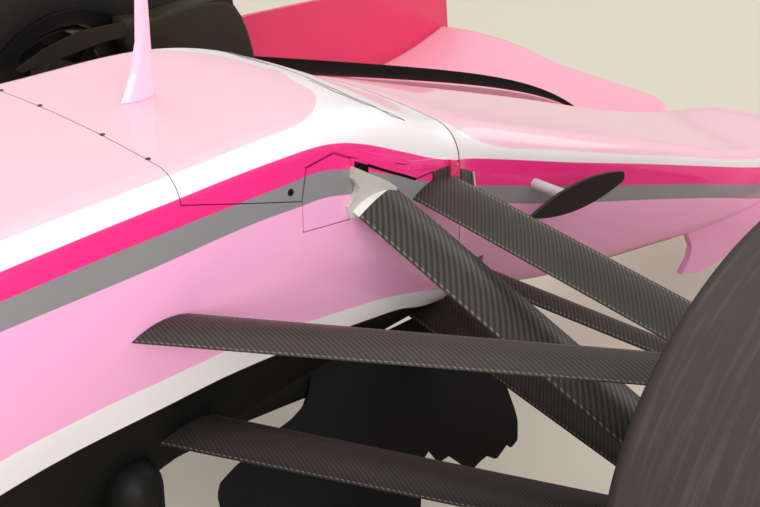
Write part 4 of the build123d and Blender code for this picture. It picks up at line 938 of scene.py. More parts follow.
MIRROR_GLASS = Finish("mirror_glass", paint(235, 236, 240), paint(225, 228, 232), 0.04, 0.01, metallic=1.0)
PAD_CLOTH = Finish("headrest_cloth", paint(232, 226, 222), paint(206, 198, 194), 0.7, 0.08, relief=0.5,
                   relief_scale=900.0)
POD_BLACK = PodBlack("pod_black", paint(22, 21, 20), paint(36, 33, 32), 0.4, specular=0.3)
BLUE_TAB = Finish("blue_tab", paint(24, 66, 176), paint(16, 46, 130), 0.4, 0.05)
RED_TAB = Finish("red_tab", paint(196, 28, 30), paint(150, 20, 24), 0.4, 0.05)
YELLOW_TAB = Finish("yellow_tab", paint(238, 214, 60), paint(206, 180, 40), 0.45, 0.05)
DEEP_BLACK = Finish("deep_black", paint(9, 9, 9), paint(16, 15, 15), 0.7, 0.05, specular=0.1)
SLOT_PAINTED_SHADE = Finish("slot_painted_shade", paint(126, 122, 124), paint(96, 92, 94), 0.5, 0.05, specular=0.2)
SCREEN_GLASS = Finish("screen_glass", paint(22, 34, 44), paint(30, 48, 60), 0.12, 0.03, coat=0.8)


NODE_FINISHES: dict[str, Finish] = {
    "tub": BODY_PAINT, "top_cover": BODY_PAINT, "access_hatches": BODY_PAINT, "nose_cone": BODY_PAINT,
    "mast": PALE_PAINT, "roll_hoop": PALE_PAINT, "nose_pods": POD_BLACK, "engine_studs": STEEL,
    "floor_tray": SATIN_CARBON, "turning_vanes": SATIN_BLACK, "mirrors": PALE_PAINT,
    "mirror_glasses": MIRROR_GLASS, "seat_shell": SHELL_CARBON, "dash_frame": SATIN_CARBON,
    "steering_column": STEEL, "steering_wheel": SATIN_CARBON, "wing_main_plane": WING_PAINT,
    "wing_front_flaps": WING_PAINT, "wing_rear_flaps": SATIN_CARBON, "wing_endplates": MAGENTA_PAINT,
    "upper_wishbones": UPPER_CARBON, "lower_wishbones": SHADED_LOWER_CARBON, "pushrods": PUSHROD_CARBON,
    "pushrod_fittings": SILVER, "rack_housing": ALLOY, "rack_bar": STEEL, "track_rods": ROD_CARBON,
    "headrest": PAD_CLOTH,
}
SIDE_FINISHES: dict[str, Finish] = {
    "upright": ALLOY, "brake_duct": DUCT_CARBON, "calliper": DARK_ALLOY, "hub": STEEL,
    "brake_disc": DISC_CARBON, "wheel_rim": WHEEL_PAINT, "wheel_nut": DARK_ALLOY, "tyre": TYRE_RUBBER,
}


@dataclass(frozen=True)
class Table:
    """Values that change along a measure, given as rows that start with the measure."""

    rows: tuple[tuple[float, ...], ...]

    def row_before(self, key: float) -> int:
        """Index of the row that a measure follows.

        Args:
            key: the measure.

        Returns:
            The row's index, never the last one's.
        """
        index = 0
        while index < len(self.rows) - 2 and key > self.rows[index + 1][0]:
            index += 1
        return index

    def straight(self, key: float, column: int = 1) -> float:
        """Value on the straight line between two rows.

        Args:
            key: the measure.
            column: which value of the rows.

        Returns:
            The value there.
        """
        index = self.row_before(key)
        low, high = self.rows[index], self.rows[index + 1]
        share = min(1.0, max(0.0, (key - low[0]) / (high[0] - low[0])))
        return low[column] + (high[column] - low[column]) * share

    def steepness(self, index: int, column: int) -> float:
        """Slope at a row: the harmonic mean of its neighbours, level at a turn.

        Args:
            index: the row.
            column: which value of the rows.

        Returns:
            How fast the value changes with the measure.
        """
        rises = [(b[column] - a[column]) / (b[0] - a[0]) for a, b in zip(self.rows, self.rows[1:])]
        if index == 0 or index == len(rises):
            return rises[min(index, len(rises) - 1)]
        before, after = rises[index - 1], rises[index]
        return 0.0 if before * after <= 0 else 2 * before * after / (before + after)

    def smooth(self, key: float, column: int = 1) -> float:
        """Value on a smooth line that never overshoots its rows.

        Args:
            key: the measure.
            column: which value of the rows.

        Returns:
            The value there.
        """
        index = self.row_before(key)
        low, high = self.rows[index], self.rows[index + 1]
        gap = high[0] - low[0]
        share = min(1.0, max(0.0, (key - low[0]) / gap))
        rise = high[column] - low[column]
        start = self.steepness(index, column) * gap
        end = self.steepness(index + 1, column) * gap
        bend = (start + end - 2 * rise) * share + 3 * rise - 2 * start - end
        return low[column] + share * (start + share * bend)


class Workshop:
    """Makes finished pieces out of bmesh shapes."""

    @staticmethod
    def placed(name: str, data: bpy.types.ID) -> bpy.types.Object:
        """Add an object to the scene.

        Args:
            name: the object's name.
            data: its mesh, lamp or camera.

        Returns:
            The new object.
        """
        made = bpy.data.objects.new(name, data)
        bpy.context.scene.collection.objects.link(made)
        return made

    @staticmethod
    def meshed(name: str, shape: bmesh.types.BMesh) -> bpy.types.Mesh:
        """Make a mesh of a shape.

        Args:
            name: the mesh's name.
            shape: the shape; it is freed here.

        Returns:
            The new mesh.
        """
        mesh = bpy.data.meshes.new(name)
        shape.to_mesh(mesh)
        shape.free()
        return mesh

    @classmethod
    def finish_piece(cls, name: str, shape: bmesh.types.BMesh, finish: Finish, body: str, slot: str,
                     smooth: bool = True) -> bpy.types.Object:
        """Turn a shape into a piece that rides on a body.

        Args:
            name: the piece's name.
            shape: the shape, with its place in its points; it is freed here.
            finish: what the piece is covered with.
            body: the body that carries it.
            slot: not used.
            smooth: shade the faces smooth.

        Returns:
            The new object.
        """
        bmesh.ops.remove_doubles(shape, verts=shape.verts, dist=WELD)
        bmesh.ops.recalc_face_normals(shape, faces=shape.faces)
        mesh = cls.meshed(name, shape)
        for face in mesh.polygons:
            face.use_smooth = smooth
        made = cls.placed(name, mesh)
        mesh.materials.append(finish.material())
        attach(made, body)
        LOG.info("piece %s on %s, %d faces", name, body, len(mesh.polygons))
        return made

    @staticmethod
    def mirrored(shape: bmesh.types.BMesh) -> bmesh.types.BMesh:
        """Add the mirror image across the car's centre plane.

        Args:
            shape: the shape on the left.

        Returns:
            The same shape with both sides.
        """
        geometry = shape.verts[:] + shape.edges[:] + shape.faces[:]
        bmesh.ops.mirror(shape, geom=geometry, matrix=Matrix.Identity(4), merge_dist=-1.0, axis="Y")
        return shape

    @staticmethod
    def surface(point: Callable[[float, float], Vector], across: int, along: int) -> bmesh.types.BMesh:
        """Grid whose points are laid out by two shares.

        Args:
            point: place of a point from its shares across and along, each 0 to 1.
            across: steps across.
            along: steps along.

        Returns:
            The laid out grid.
        """
        shape = bmesh.new()
        bmesh.ops.create_grid(shape, x_segments=across, y_segments=along, size=1.0)
        reach = max(vert.co.x for vert in shape.verts)
        for vert in shape.verts:
            vert.co = point((vert.co.x / reach + 1) / 2, (vert.co.y / reach + 1) / 2)
        return shape

    @staticmethod
    def closed(shape: bmesh.types.BMesh) -> bmesh.types.BMesh:
        """Weld a tube's seam and fill its open ends.

        Args:
            shape: a grid laid round.

        Returns:
            The same shape, closed.
        """
        bmesh.ops.remove_doubles(shape, verts=shape.verts, dist=SEAM_WELD)
        edges = [edge for edge in shape.edges if edge.is_boundary]
        if edges:
            bmesh.ops.holes_fill(shape, edges=edges, sides=0)
        return shape

    @staticmethod
    def thickened(shape: bmesh.types.BMesh, thickness: float) -> bmesh.types.BMesh:
        """Give a sheet its thickness.

        Args:
            shape: the sheet.
            thickness: its thickness, in metres.

        Returns:
            The same shape as a plate.
        """
        bmesh.ops.remove_doubles(shape, verts=shape.verts, dist=WELD)
        bmesh.ops.recalc_face_normals(shape, faces=shape.faces)
        bmesh.ops.solidify(shape, geom=shape.faces[:], thickness=thickness)
        return shape

    @staticmethod
    def break_edges(shape: bmesh.types.BMesh, edges: Sequence[bmesh.types.BMEdge], width: float) -> None:
        """Round a shape's edges off by so many millimetres."""
        bmesh.ops.bevel(shape, geom=edges, offset=width / 1000, offset_type="OFFSET", segments=2,
                        profile=0.5, affect="EDGES", material=-1)

    @classmethod
    def slab(cls, outline: Line, low_y: float, high_y: float, edge: float = 0.8,
             sharp: float = 0.7) -> bmesh.types.BMesh:
        """Plate with a side view, between two widths.

        Args:
            outline: corners of the side view, x and z.
            low_y: its inner face.
            high_y: its outer face.
            edge: how far its edges are broken, in millimetres.
            sharp: angle above which an edge is broken, in radians.

        Returns:
            The plate.
        """
        shape = bmesh.new()
        ring = bmesh.ops.create_circle(shape, cap_ends=True, segments=len(outline), radius=1.0)["verts"]
        for vert, (x, z) in zip(ring, outline):
            vert.co = place(x, low_y, z)
        pushed = bmesh.ops.extrude_face_region(shape, geom=shape.faces[:])["geom"]
        moved = [item for item in pushed if isinstance(item, bmesh.types.BMVert)]
        bmesh.ops.translate(shape, verts=moved, vec=Vector((0, (high_y - low_y) / 1000, 0)))
        bmesh.ops.recalc_face_normals(shape, faces=shape.faces)
        cls.break_edges(shape, [item for item in shape.edges if item.calc_face_angle(0.0) > sharp], edge)
        return shape

    @staticmethod
    def turn_to(axis: Point) -> Matrix:
        """Rotation that lays the Z axis along another."""
        return Vector(axis).to_track_quat("Z", "Y").to_matrix().to_4x4()

    @classmethod
    def add_disc(cls, shape: bmesh.types.BMesh, centre: Vector, axis: Point, radius: float, height: float,
                 sides: int = 20, taper: float = 0.92) -> None:
        """Add a low disc or bolt head.

        Args:
            shape: what it is added to.
            centre: middle of its foot, in metres.
            axis: the way it stands.
            radius: radius of its foot, in millimetres.
            height: height in millimetres.
            sides: faces round it, 6 for a hexagon.
            taper: share of the radius left at the top.
        """
        turn = Matrix.Translation(centre) @ cls.turn_to(axis)
        lift = Matrix.Translation((0.0, 0.0, height / 2000))
        bmesh.ops.create_cone(shape, cap_ends=True, cap_tris=False, segments=sides, radius1=radius / 1000,
                              radius2=radius * taper / 1000, depth=height / 1000, matrix=turn @ lift)

    @classmethod
    def add_block(cls, shape: bmesh.types.BMesh, low: Vector, high: Vector, edge: float = 1.0) -> None:
        """Add a box.

        Args:
            shape: what it is added to.
            low: its one corner, in metres.
            high: the corner across from it.
            edge: how far its edges are broken, in millimetres.
        """
        middle, size = (low + high) / 2, high - low
        scale = Matrix.Diagonal((abs(size.x), abs(size.y), abs(size.z), 1.0))
        made = bmesh.ops.create_cube(shape, size=1.0, matrix=Matrix.Translation(middle) @ scale)
        cls.break_edges(shape, list({rim for vert in made["verts"] for rim in vert.link_edges}), edge)


class Skin:
    """Finds places on the outside of solids, so that thin trim can lie on them."""

    PATCH_RIM = 0.01
    STRIP_RIM = 0.04
    STRIP_STEPS = 4

    def __init__(self, nodes: Sequence[bpy.types.Object]) -> None:
        """Keep the solids' surfaces.

        Args:
            nodes: the solids that trim lies on.
        """
        points: list[Vector] = []
        faces: list[list[int]] = []
        for node in nodes:
            base = len(points)
            points += [vert.co.copy() for vert in node.data.vertices]
            faces += [[base + index for index in face.vertices] for face in node.data.polygons]
        self.tree = BVHTree.FromPolygons(points, faces)

    def drop(self, start: Vector, aim: Vector, lift: float) -> Vector:
        """Point that stands a little over the first surface met.

        Args:
            start: where the fall starts.
            aim: the way it goes.
            lift: how far over the surface it ends, in metres.

        Returns:
            The point, or the start where nothing is met.
        """
        spot, normal, _, _ = self.tree.ray_cast(start, aim)
        if spot is None:
            return start
        facing = normal if normal.dot(aim) < 0 else -normal
        return spot + facing * lift

    @staticmethod
    def rim_share(share: float, steps: int, rim: float) -> tuple[float, bool]:
        """Share moved so that the outermost step of a grid is a narrow rim.

        Args:
            share: share across the grid.
            steps: steps across it.
            rim: the rim's width, as a share.

        Returns:
            The moved share, and whether it is on the grid's outer line.
        """
        if share < 0.5 / steps or share > 1 - 0.5 / steps:
            return float(round(share)), True
        inner = (share - 1 / steps) / (1 - 2 / steps)
        return rim + (1 - 2 * rim) * inner, False

    def patch(self, corners: Sequence[Vector], aim: Vector, lift: float = TRIM_LIFT,
              steps: tuple[int, int] = (8, 8)) -> bmesh.types.BMesh:
        """Four cornered patch laid on the surface, with walls down to it all round.

        Args:
            corners: four start points in order round the patch.
            aim: the way they fall.
            lift: how far the patch stands over the surface, in metres.
            steps: faces along its two ways.

        Returns:
            The patch.
        """
        first, second, third, fourth = corners

        def point(across: float, along: float) -> Vector:
            """Point of the patch.

            Args:
                across: share across it.
                along: share along it.

            Returns:
                The point.
            """
            across, on_side = self.rim_share(across, steps[0], self.PATCH_RIM)
            along, on_end = self.rim_share(along, steps[1], self.PATCH_RIM)
            start = first.lerp(second, across).lerp(fourth.lerp(third, across), along)
            return self.drop(start, aim, 0.0 if on_side or on_end else lift)

        return Workshop.surface(point, *steps)

    def strip(self, line: Sequence[Vector], aim: Vector, width: float, lift: float = TRIM_LIFT,
              steps: int = 40, pointed: bool = False) -> bmesh.types.BMesh:
        """Narrow strip laid along a line on the surface.

        Args:
            line: start points of its middle.
            aim: the way they fall.
            width: its width in millimetres.
            lift: how far it stands over the surface, in metres.
            steps: faces along it.
            pointed: narrow it to nothing at both ends.

        Returns:
            The strip.
        """
        lengths = [(b - a).length for a, b in zip(line, line[1:])]
        whole = sum(lengths)

        def middle(share: float) -> tuple[Vector, Vector]:
            """Place on the line.

            Args:
                share: share of its length.

            Returns:
                The point and the way the line runs there.
            """
            rest = share * whole
            for index, length in enumerate(lengths):
                if rest <= length or index == len(lengths) - 1:
                    run = line[index + 1] - line[index]
                    return line[index] + run * min(1.0, rest / length), run.normalized()
                rest -= length
            return line[-1], aim

        def point(across: float, along: float) -> Vector:
            """Point of the strip.

            Args:
                across: share across it.
                along: share along it.

            Returns:
                The point.
            """
            spot, run = middle(along)
            full = width / 1000 * (math.sin(math.pi * min(1.0, max(0.0, along))) if pointed else 1.0)
            across, on_side = self.rim_share(across, self.STRIP_STEPS, self.STRIP_RIM)
            side = run.cross(aim).normalized()
            return self.drop(spot + side * (across - 0.5) * full, aim, 0.0 if on_side else lift)

        return Workshop.surface(point, self.STRIP_STEPS, steps)


@dataclass
class FrontWing:
    """Front wing: the main plane's smooth skin, and the bolts of its endplates.

    The skin's nose is given by the distance out, x and z; its tail by the distance out, x, z, the sag of
    the section and its thickness. The section's terms go with the root and the first four powers of the
    share back from the nose.
    """

    half_span: float = 885.0
    steps_round: int = 40
    steps_along: int = 236
    nose: Table = Table((
        (0, 1060, 100), (190, 1060, 100), (212, 1085, 118), (235, 1108, 158), (262, 1120, 178),
        (305, 1128, 184), (370, 1130, 184), (450, 1130, 185), (540, 1130, 187), (630, 1130, 197),
        (720, 1127, 205), (800, 1124, 203), (885, 1118, 196),
    ))
    tail: Table = Table((
        (0, 890, 100, 0, 15), (205, 890, 100, 0, 15), (262, 908, 130, 2, 15), (305, 930, 158, 4, 15),
        (430, 900, 152, 10, 16), (600, 860, 150, 18, 18), (760, 820, 150, 20, 18), (885, 790, 150, 20, 18),
    ))
    section: tuple[float, ...] = (0.2969, -0.126, -0.3516, 0.2843, -0.1036)
    plate_outer_y: float = 895.5
    plate_bolts: Line = (
        (1090, 200), (1010, 182), (930, 170), (850, 162), (740, 190), (640, 220), (540, 250), (450, 280),
    )
    bolt_radius: float = 6.0
    bolt_height: float = 2.0
    bolt_sides: int = 16
    bolt_taper: float = 0.7

    def build(self) -> None:
        """Build the skin and the bolts."""
        shape = Workshop.closed(Workshop.surface(self.skin_point, self.steps_round, self.steps_along))
        made = Workshop.finish_piece("wing_main_skin", shape, WING_PAINT, "chassis", "pink")
        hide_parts("wing_main_plane")
        bolts = bmesh.new()
        for x, z in self.plate_bolts:
            Workshop.add_disc(bolts, place(x, self.plate_outer_y, z), (0, 1, 0), self.bolt_radius,
                              self.bolt_height, self.bolt_sides, self.bolt_taper)
        bolts = Workshop.mirrored(bolts)
        Workshop.finish_piece("endplate_bolts", bolts, DARK_ALLOY, "chassis", "steel", False)

    def skin_point(self, across: float, along: float) -> Vector:
        """Point of the skin.

        Args:
            across: share of the way round the blade, from its nose over the top.
            along: share of the span.

        Returns:
            The point.
        """
        y = self.half_span * (2 * along - 1)
        out = abs(y)
        turn = 2 * math.pi * across
        back = (1 + math.cos(turn)) / 2
        nose_x, nose_z = self.nose.smooth(out, 1), self.nose.smooth(out, 2)
        tail_x, tail_z = self.tail.smooth(out, 1), self.tail.smooth(out, 2)
        sag, thick = self.tail.smooth(out, 3), self.tail.smooth(out, 4)
        powers = (math.sqrt(back), back, back ** 2, back ** 3, back ** 4)
        shape = sum(term * power for term, power in zip(self.section, powers))
        rise = math.copysign(thick * shape, math.sin(turn)) if 0 < across < 1 else 0.0
        drop = 4 * sag * back * (1 - back)
        return place(nose_x + (tail_x - nose_x) * back, y, nose_z + (tail_z - nose_z) * back - drop + rise)


@dataclass
class TurningVanes:
    """Bent plates under the chassis with a stepped lower edge, and the boards and guards of the keel.

    The bend is given by three points, each the distance out and the height. Each plate has a lower and an
    upper edge, as x and z.
    """

    bend: Line = ((122, 262), (176, 190), (262, 66))
    thickness: float = 0.005
    plate_steps: tuple[int, int] = (90, 30)
    plates: tuple[tuple[str, Table, Table], ...] = (
        ("front", Table((
            (-96, 129), (-79, 114), (-58, 122), (-50, 104), (-29, 105), (-18, 93), (-4, 77), (15, 81),
            (33, 83), (46, 74), (59, 78), (75, 83), (80, 77), (95, 81), (110, 102), (114, 120), (116, 144),
            (118, 162),
        )), Table(((-96, 129), (-90, 262), (60, 262), (98, 200), (118, 162)))),
        ("rear", Table((
            (-398, 120), (-390, 78), (-352, 74), (-180, 62), (-110, 70), (-90, 100),
        )), Table((
            (-398, 150), (-387, 187), (-376, 197), (-345, 205), (-265, 219), (-240, 222), (-218, 228),
            (-200, 240), (-180, 262), (-90, 262),
        ))),
    )
    board_y: tuple[float, float] = (122.0, 128.0)
    board: Line = (
        (-90, 226), (-184, 222), (-242, 227), (-298, 231), (-351, 230), (-440, 228), (-760, 232),
    )
    board_top: float = 275.0
    guard_centre: Point = (-510.0, 170.0, 254.0)
    guard_radius: float = 39.0
    guard_foot: float = 150.0
    guard_steps: tuple[int, int] = (32, 24)

    def build(self) -> None:
        """Build the plates, boards and guards on both sides."""
        for label, low, high in self.plates:
            shape = Workshop.surface(self.plate_point(low, high), *self.plate_steps)
            shape = Workshop.mirrored(Workshop.thickened(shape, self.thickness))
            made = Workshop.finish_piece(f"turning_vane_{label}", shape, SATIN_BLACK, "chassis", "carbon",
                                         False)
            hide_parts("turning_vanes")
        front, rear = self.board[0][0], self.board[-1][0]
        board = Workshop.slab(self.board + ((rear, self.board_top), (front, self.board_top)), *self.board_y)
        board = Workshop.mirrored(board)
        Workshop.finish_piece("keel_boards", board, SATIN_BLACK, "chassis", "carbon", False)
        guard = Workshop.closed(Workshop.surface(self.guard_point, *self.guard_steps))
        Workshop.finish_piece("keel_guards", Workshop.mirrored(guard), SATIN_BLACK, "chassis", "carbon")

    def plate_point(self, low: Table, high: Table) -> Callable[[float, float], Vector]:
        """How a plate's points are laid out.

        Args:
            low: its lower edge.
            high: its upper edge.

        Returns:
            Function that gives a point from its shares along the car and up the plate.
        """
        first, last = low.rows[0][0], low.rows[-1][0]

        def point(across: float, along: float) -> Vector:
            """Point of the plate.

            Args:
                across: share along the car.
                along: share up the plate.

            Returns:
                The point.
            """
            x = first + (last - first) * across
            z = low.straight(x) + (high.straight(x) - low.straight(x)) * along
            return place(x, self.out_at(z), z)

        return point

    def guard_point(self, across: float, along: float) -> Vector:
        """Point of the domed guard beside the keel.

        Args:
            across: share of the way round.
            along: share of the way up.

        Returns:
            The point.
        """
        x, y, z = self.guard_centre
        turn = 2 * math.pi * across
        if along < 0.5:
            radius, height = self.guard_radius, self.guard_foot + (z - self.guard_foot) * along * 2
        else:
            rise = (along - 0.5) * math.pi
            radius, height = self.guard_radius * math.cos(rise), z + self.guard_radius * math.sin(rise)
        return place(x + radius * math.cos(turn), y + radius * math.sin(turn), height)

    def out_at(self, z: float) -> float:
        """How far out the bent plate lies at a height, on the parabola through the bend's points.

        Args:
            z: the height.

        Returns:
            The distance from the centre plane.
        """
        total = 0.0
        for index, (y, height) in enumerate(self.bend):
            share = y
            for other, (_, other_height) in enumerate(self.bend):
                if other != index:
                    share *= (z - other_height) / (height - other_height)
            total += share
        return total


@dataclass
class BrakeDuct:
    """Rounded fairing over a brake duct's scoop, with a black block at its mouth that is painted shade for
    the inside of the duct, and its marks.

    The outline is given by x and z, and each mark by x, z and its radius.
    """

    side: Side
    low_y: float = 632.0
    high_y: float = 676.0
    round_by: float = 0.93
    round_reach: float = 2.5
    steps: tuple[int, int] = (3, 10)
    outline: Line = (
        (84, 504), (138, 497), (202, 500), (262, 498), (301, 491), (323, 477), (338, 454), (350, 425),
        (362, 384), (366, 360), (360, 300), (345, 258), (325, 232), (300, 218), (215, 218), (180, 250),
        (150, 330), (112, 420), (84, 462),
    )
    marks: tuple[Point, ...] = ((318, 492, 5.0), (352, 431, 4.0))
    mark_axis: Point = (0.5, 0.0, 1.0)
    mark_height: float = 5.0
    mark_sides: int = 16
    # Black block in the mouth: painted shade for the shaded inside of the duct.
    mouth_x: tuple[float, float] = (352.0, 366.6)
    mouth_z: tuple[float, float] = (262.0, 356.0)
    mouth_inset: float = 7.0
    mouth_edge: float = 3.0

    def build(self) -> None:
        """Build the fairing, its marks and the black block of painted shade at its mouth."""
        body = f"upright_{self.side.label}_body"
        steps_a_corner, steps_across = self.steps
        grid = Workshop.surface(self.point, len(self.outline) * steps_a_corner, steps_across)
        shape = Workshop.closed(grid)
        Workshop.finish_piece(f"duct_fairing_{self.side.label}", shape, DUCT_CARBON, body, "duct")
        marks = bmesh.new()
        for x, z, radius in self.marks:
            foot = self.side.spot(x, (self.low_y + self.high_y) / 2, z)
            Workshop.add_disc(marks, foot, self.mark_axis, radius, self.mark_height, self.mark_sides)
        Workshop.finish_piece(f"duct_marks_{self.side.label}", marks, YELLOW_TAB, body, "livery", False)
        # Painted shade: a black block in place of the duct's shaded inside.
        mouth = bmesh.new()
        low = self.side.spot(self.mouth_x[0], self.low_y + self.mouth_inset, self.mouth_z[0])
        high = self.side.spot(self.mouth_x[1], self.high_y - self.mouth_inset, self.mouth_z[1])
        Workshop.add_block(mouth, low, high, self.mouth_edge)
        Workshop.finish_piece(f"duct_mouth_painted_shade_{self.side.label}", mouth, DEEP_BLACK, body, "carbon", False)

    def point(self, across: float, along: float) -> Vector:
        """Point of the fairing.

        Args:
            across: share of the way round the outline.
            along: share of its width.

        Returns:
            The point.
        """
        count = len(self.outline)
        step = across * count
        index = int(step) % count
        part = step - int(step)
        (x_a, z_a), (x_b, z_b) = self.outline[index], self.outline[(index + 1) % count]
        x, z = x_a + (x_b - x_a) * part, z_a + (z_b - z_a) * part
        edge = min(along, 1 - along) * 2
        shrink = self.round_by + (1 - self.round_by) * math.sqrt(
            1 - (1 - min(1.0, edge * self.round_reach)) ** 2)
        middle_x = sum(a for a, _ in self.outline) / count
        middle_z = sum(b for _, b in self.outline) / count
        y = self.low_y + (self.high_y - self.low_y) * along
        return self.side.spot(middle_x + (x - middle_x) * shrink, y, middle_z + (z - middle_z) * shrink)


@dataclass
class BodyTrim:
    """Thin trim that lies on the body: hatch slits, the slots on top, fasteners and the arm root blocks. The
    black slit is painted shadow in the gap above the pushrod fairing, the black patch is painted shade in the
    pushrod's cut-out, the grey slots are painted shade inside thin slots, and the black socket is painted
    shade in a screw's recess.

    Lines beside the body are given by x and z, those on top of it by x and y. Lifts are in metres. Each
    patch at an arm's root is given by its name, its lift, its finish and its corners.
    """

    skin: Skin
    reach_out: float = 420.0
    reach_up: float = 760.0
    # Black patch over the pushrod's cut-out: painted shade for the shaded hole.
    cut_out: Line = ((-166, 576), (-141, 563), (-141, 541), (-168, 552))
    # Black slit: painted shadow in the gap above the pushrod fairing.
    slit: Line = ((-142, 563), (-117, 549), (-93, 536), (-68, 523), (-45, 510))
    slit_width: float = 3.6
    fine_seam: Line = ((-45, 510), (-24, 508), (-5, 506))
    fine_width: float = 1.2
    line_lift: float = 0.0007
    cover: Line = ((-158, 583), (-135, 570), (-96, 552), (-51, 530), (-10, 518), (26, 508), (52, 501.5))
    cover_width: float = 13.0
    cover_lift: float = 0.0004
    # Grey strips for the thin slots on top: painted shade inside the slots.
    slots: tuple[Line, ...] = (
        ((-88, 0), (-92, 60), (-93, 110), (-81, 151), (-41, 156)),
        ((-100, 40), (-104, 90), (-96, 138), (-70, 158), (-41, 156)),
    )
    slot_width: float = 1.8
    screw: tuple[float, float] = (-279, 574)
    screw_axis: Point = (0.0, 0.97, 0.24)
    screw_radius: float = 4.5
    screw_height: float = 1.2
    # The black socket is painted shade in the screw's recess.
    socket_lift: float = 0.0014
    socket_height: float = 0.3
    top_bolts: Line = ((-436, 64), (-436, 150), (-900, 90), (-700, 90))
    bolt_radius: float = 3.2
    bolt_height: float = 0.8
    root_patches: tuple[tuple[str, float, Finish, Line], ...] = (
        ("rear_block", 0.003, SHELL_CARBON, ((-8, 480), (-6, 506), (30, 503), (28, 474))),
        ("front_block", 0.005, SHELL_CARBON, ((46, 466), (47, 494), (84, 475), (86, 452))),
        ("root_tab", 0.006, MAGENTA_PAINT, ((28, 482), (30, 511), (47, 503), (46, 477))),
        ("block_rim", 0.006, SILVER, ((83, 475), (87, 474), (89, 452), (85, 452))),
    )

    def build(self) -> None:
        """Build every strip, patch and fastener on both sides."""
        inward = Vector(INWARD)
        # Painted shade: a flat black patch in place of the cut-out's shaded inside.
        cut = self.skin.patch(self.beside(self.cut_out), inward)
        self.finish("pushrod_cut_out_painted_shade", cut, DEEP_BLACK)
        for name, line, width, lift, finish in (
            ("seam_cover", self.cover, self.cover_width, self.cover_lift, BODY_PAINT),
            # The black slit is painted shadow in the gap above the pushrod fairing.
            ("hatch_slit_painted_shadow", self.slit, self.slit_width, self.line_lift, DEEP_BLACK),
            ("hatch_seam", self.fine_seam, self.fine_width, self.line_lift, DEEP_BLACK),
        ):
            self.finish(name, self.skin.strip(self.beside(line), inward, width, lift), finish)
        for index, slot in enumerate(self.slots):
            line = [place(x, y, self.reach_up) for x, y in slot]
            shape = self.skin.strip(line, Vector(DOWN), self.slot_width, pointed=True)
            self.finish(f"top_slot_painted_shade_{index}", shape, SLOT_PAINTED_SHADE)
        self.fasteners()
        for name, lift, finish, corners in self.root_patches:
            self.finish(name, self.skin.patch(self.beside(corners), inward, lift), finish)

    def beside(self, line: Line) -> list[Vector]:
        """Start points out beside the body, from x and z."""
        return [place(x, self.reach_out, z) for x, z in line]

    def finish(self, name: str, shape: bmesh.types.BMesh, finish: Finish) -> None:
        """Mirror a piece of trim and fix it to the chassis."""
        Workshop.finish_piece(name, Workshop.mirrored(shape), finish, "chassis", "livery", False)

    def fasteners(self) -> None:
        """Screws on the hatches and on top, and a black hexagon that is painted shade in the hatch screw's
        socket.
        """
        start = self.beside((self.screw,))[0]
        shape = bmesh.new()
        foot = self.skin.drop(start, Vector(INWARD), 0.0)
        Workshop.add_disc(shape, foot, self.screw_axis, self.screw_radius, self.screw_height)
        for x, y in self.top_bolts:
            foot = self.skin.drop(place(x, y, self.reach_up), Vector(DOWN), 0.0)
            Workshop.add_disc(shape, foot, (0, 0, 1), self.bolt_radius, self.bolt_height)
        self.finish("body_screws", shape, DARK_ALLOY)
        # Painted shade: black hexagon in place of the socket's shaded hollow.
        socket = bmesh.new()
        foot = self.skin.drop(start, Vector(INWARD), self.socket_lift)
        Workshop.add_disc(socket, foot, self.screw_axis, self.screw_radius / 2, self.socket_height,
                          HEXAGON)
        self.finish("screw_socket_painted_shade", socket, DEEP_BLACK)


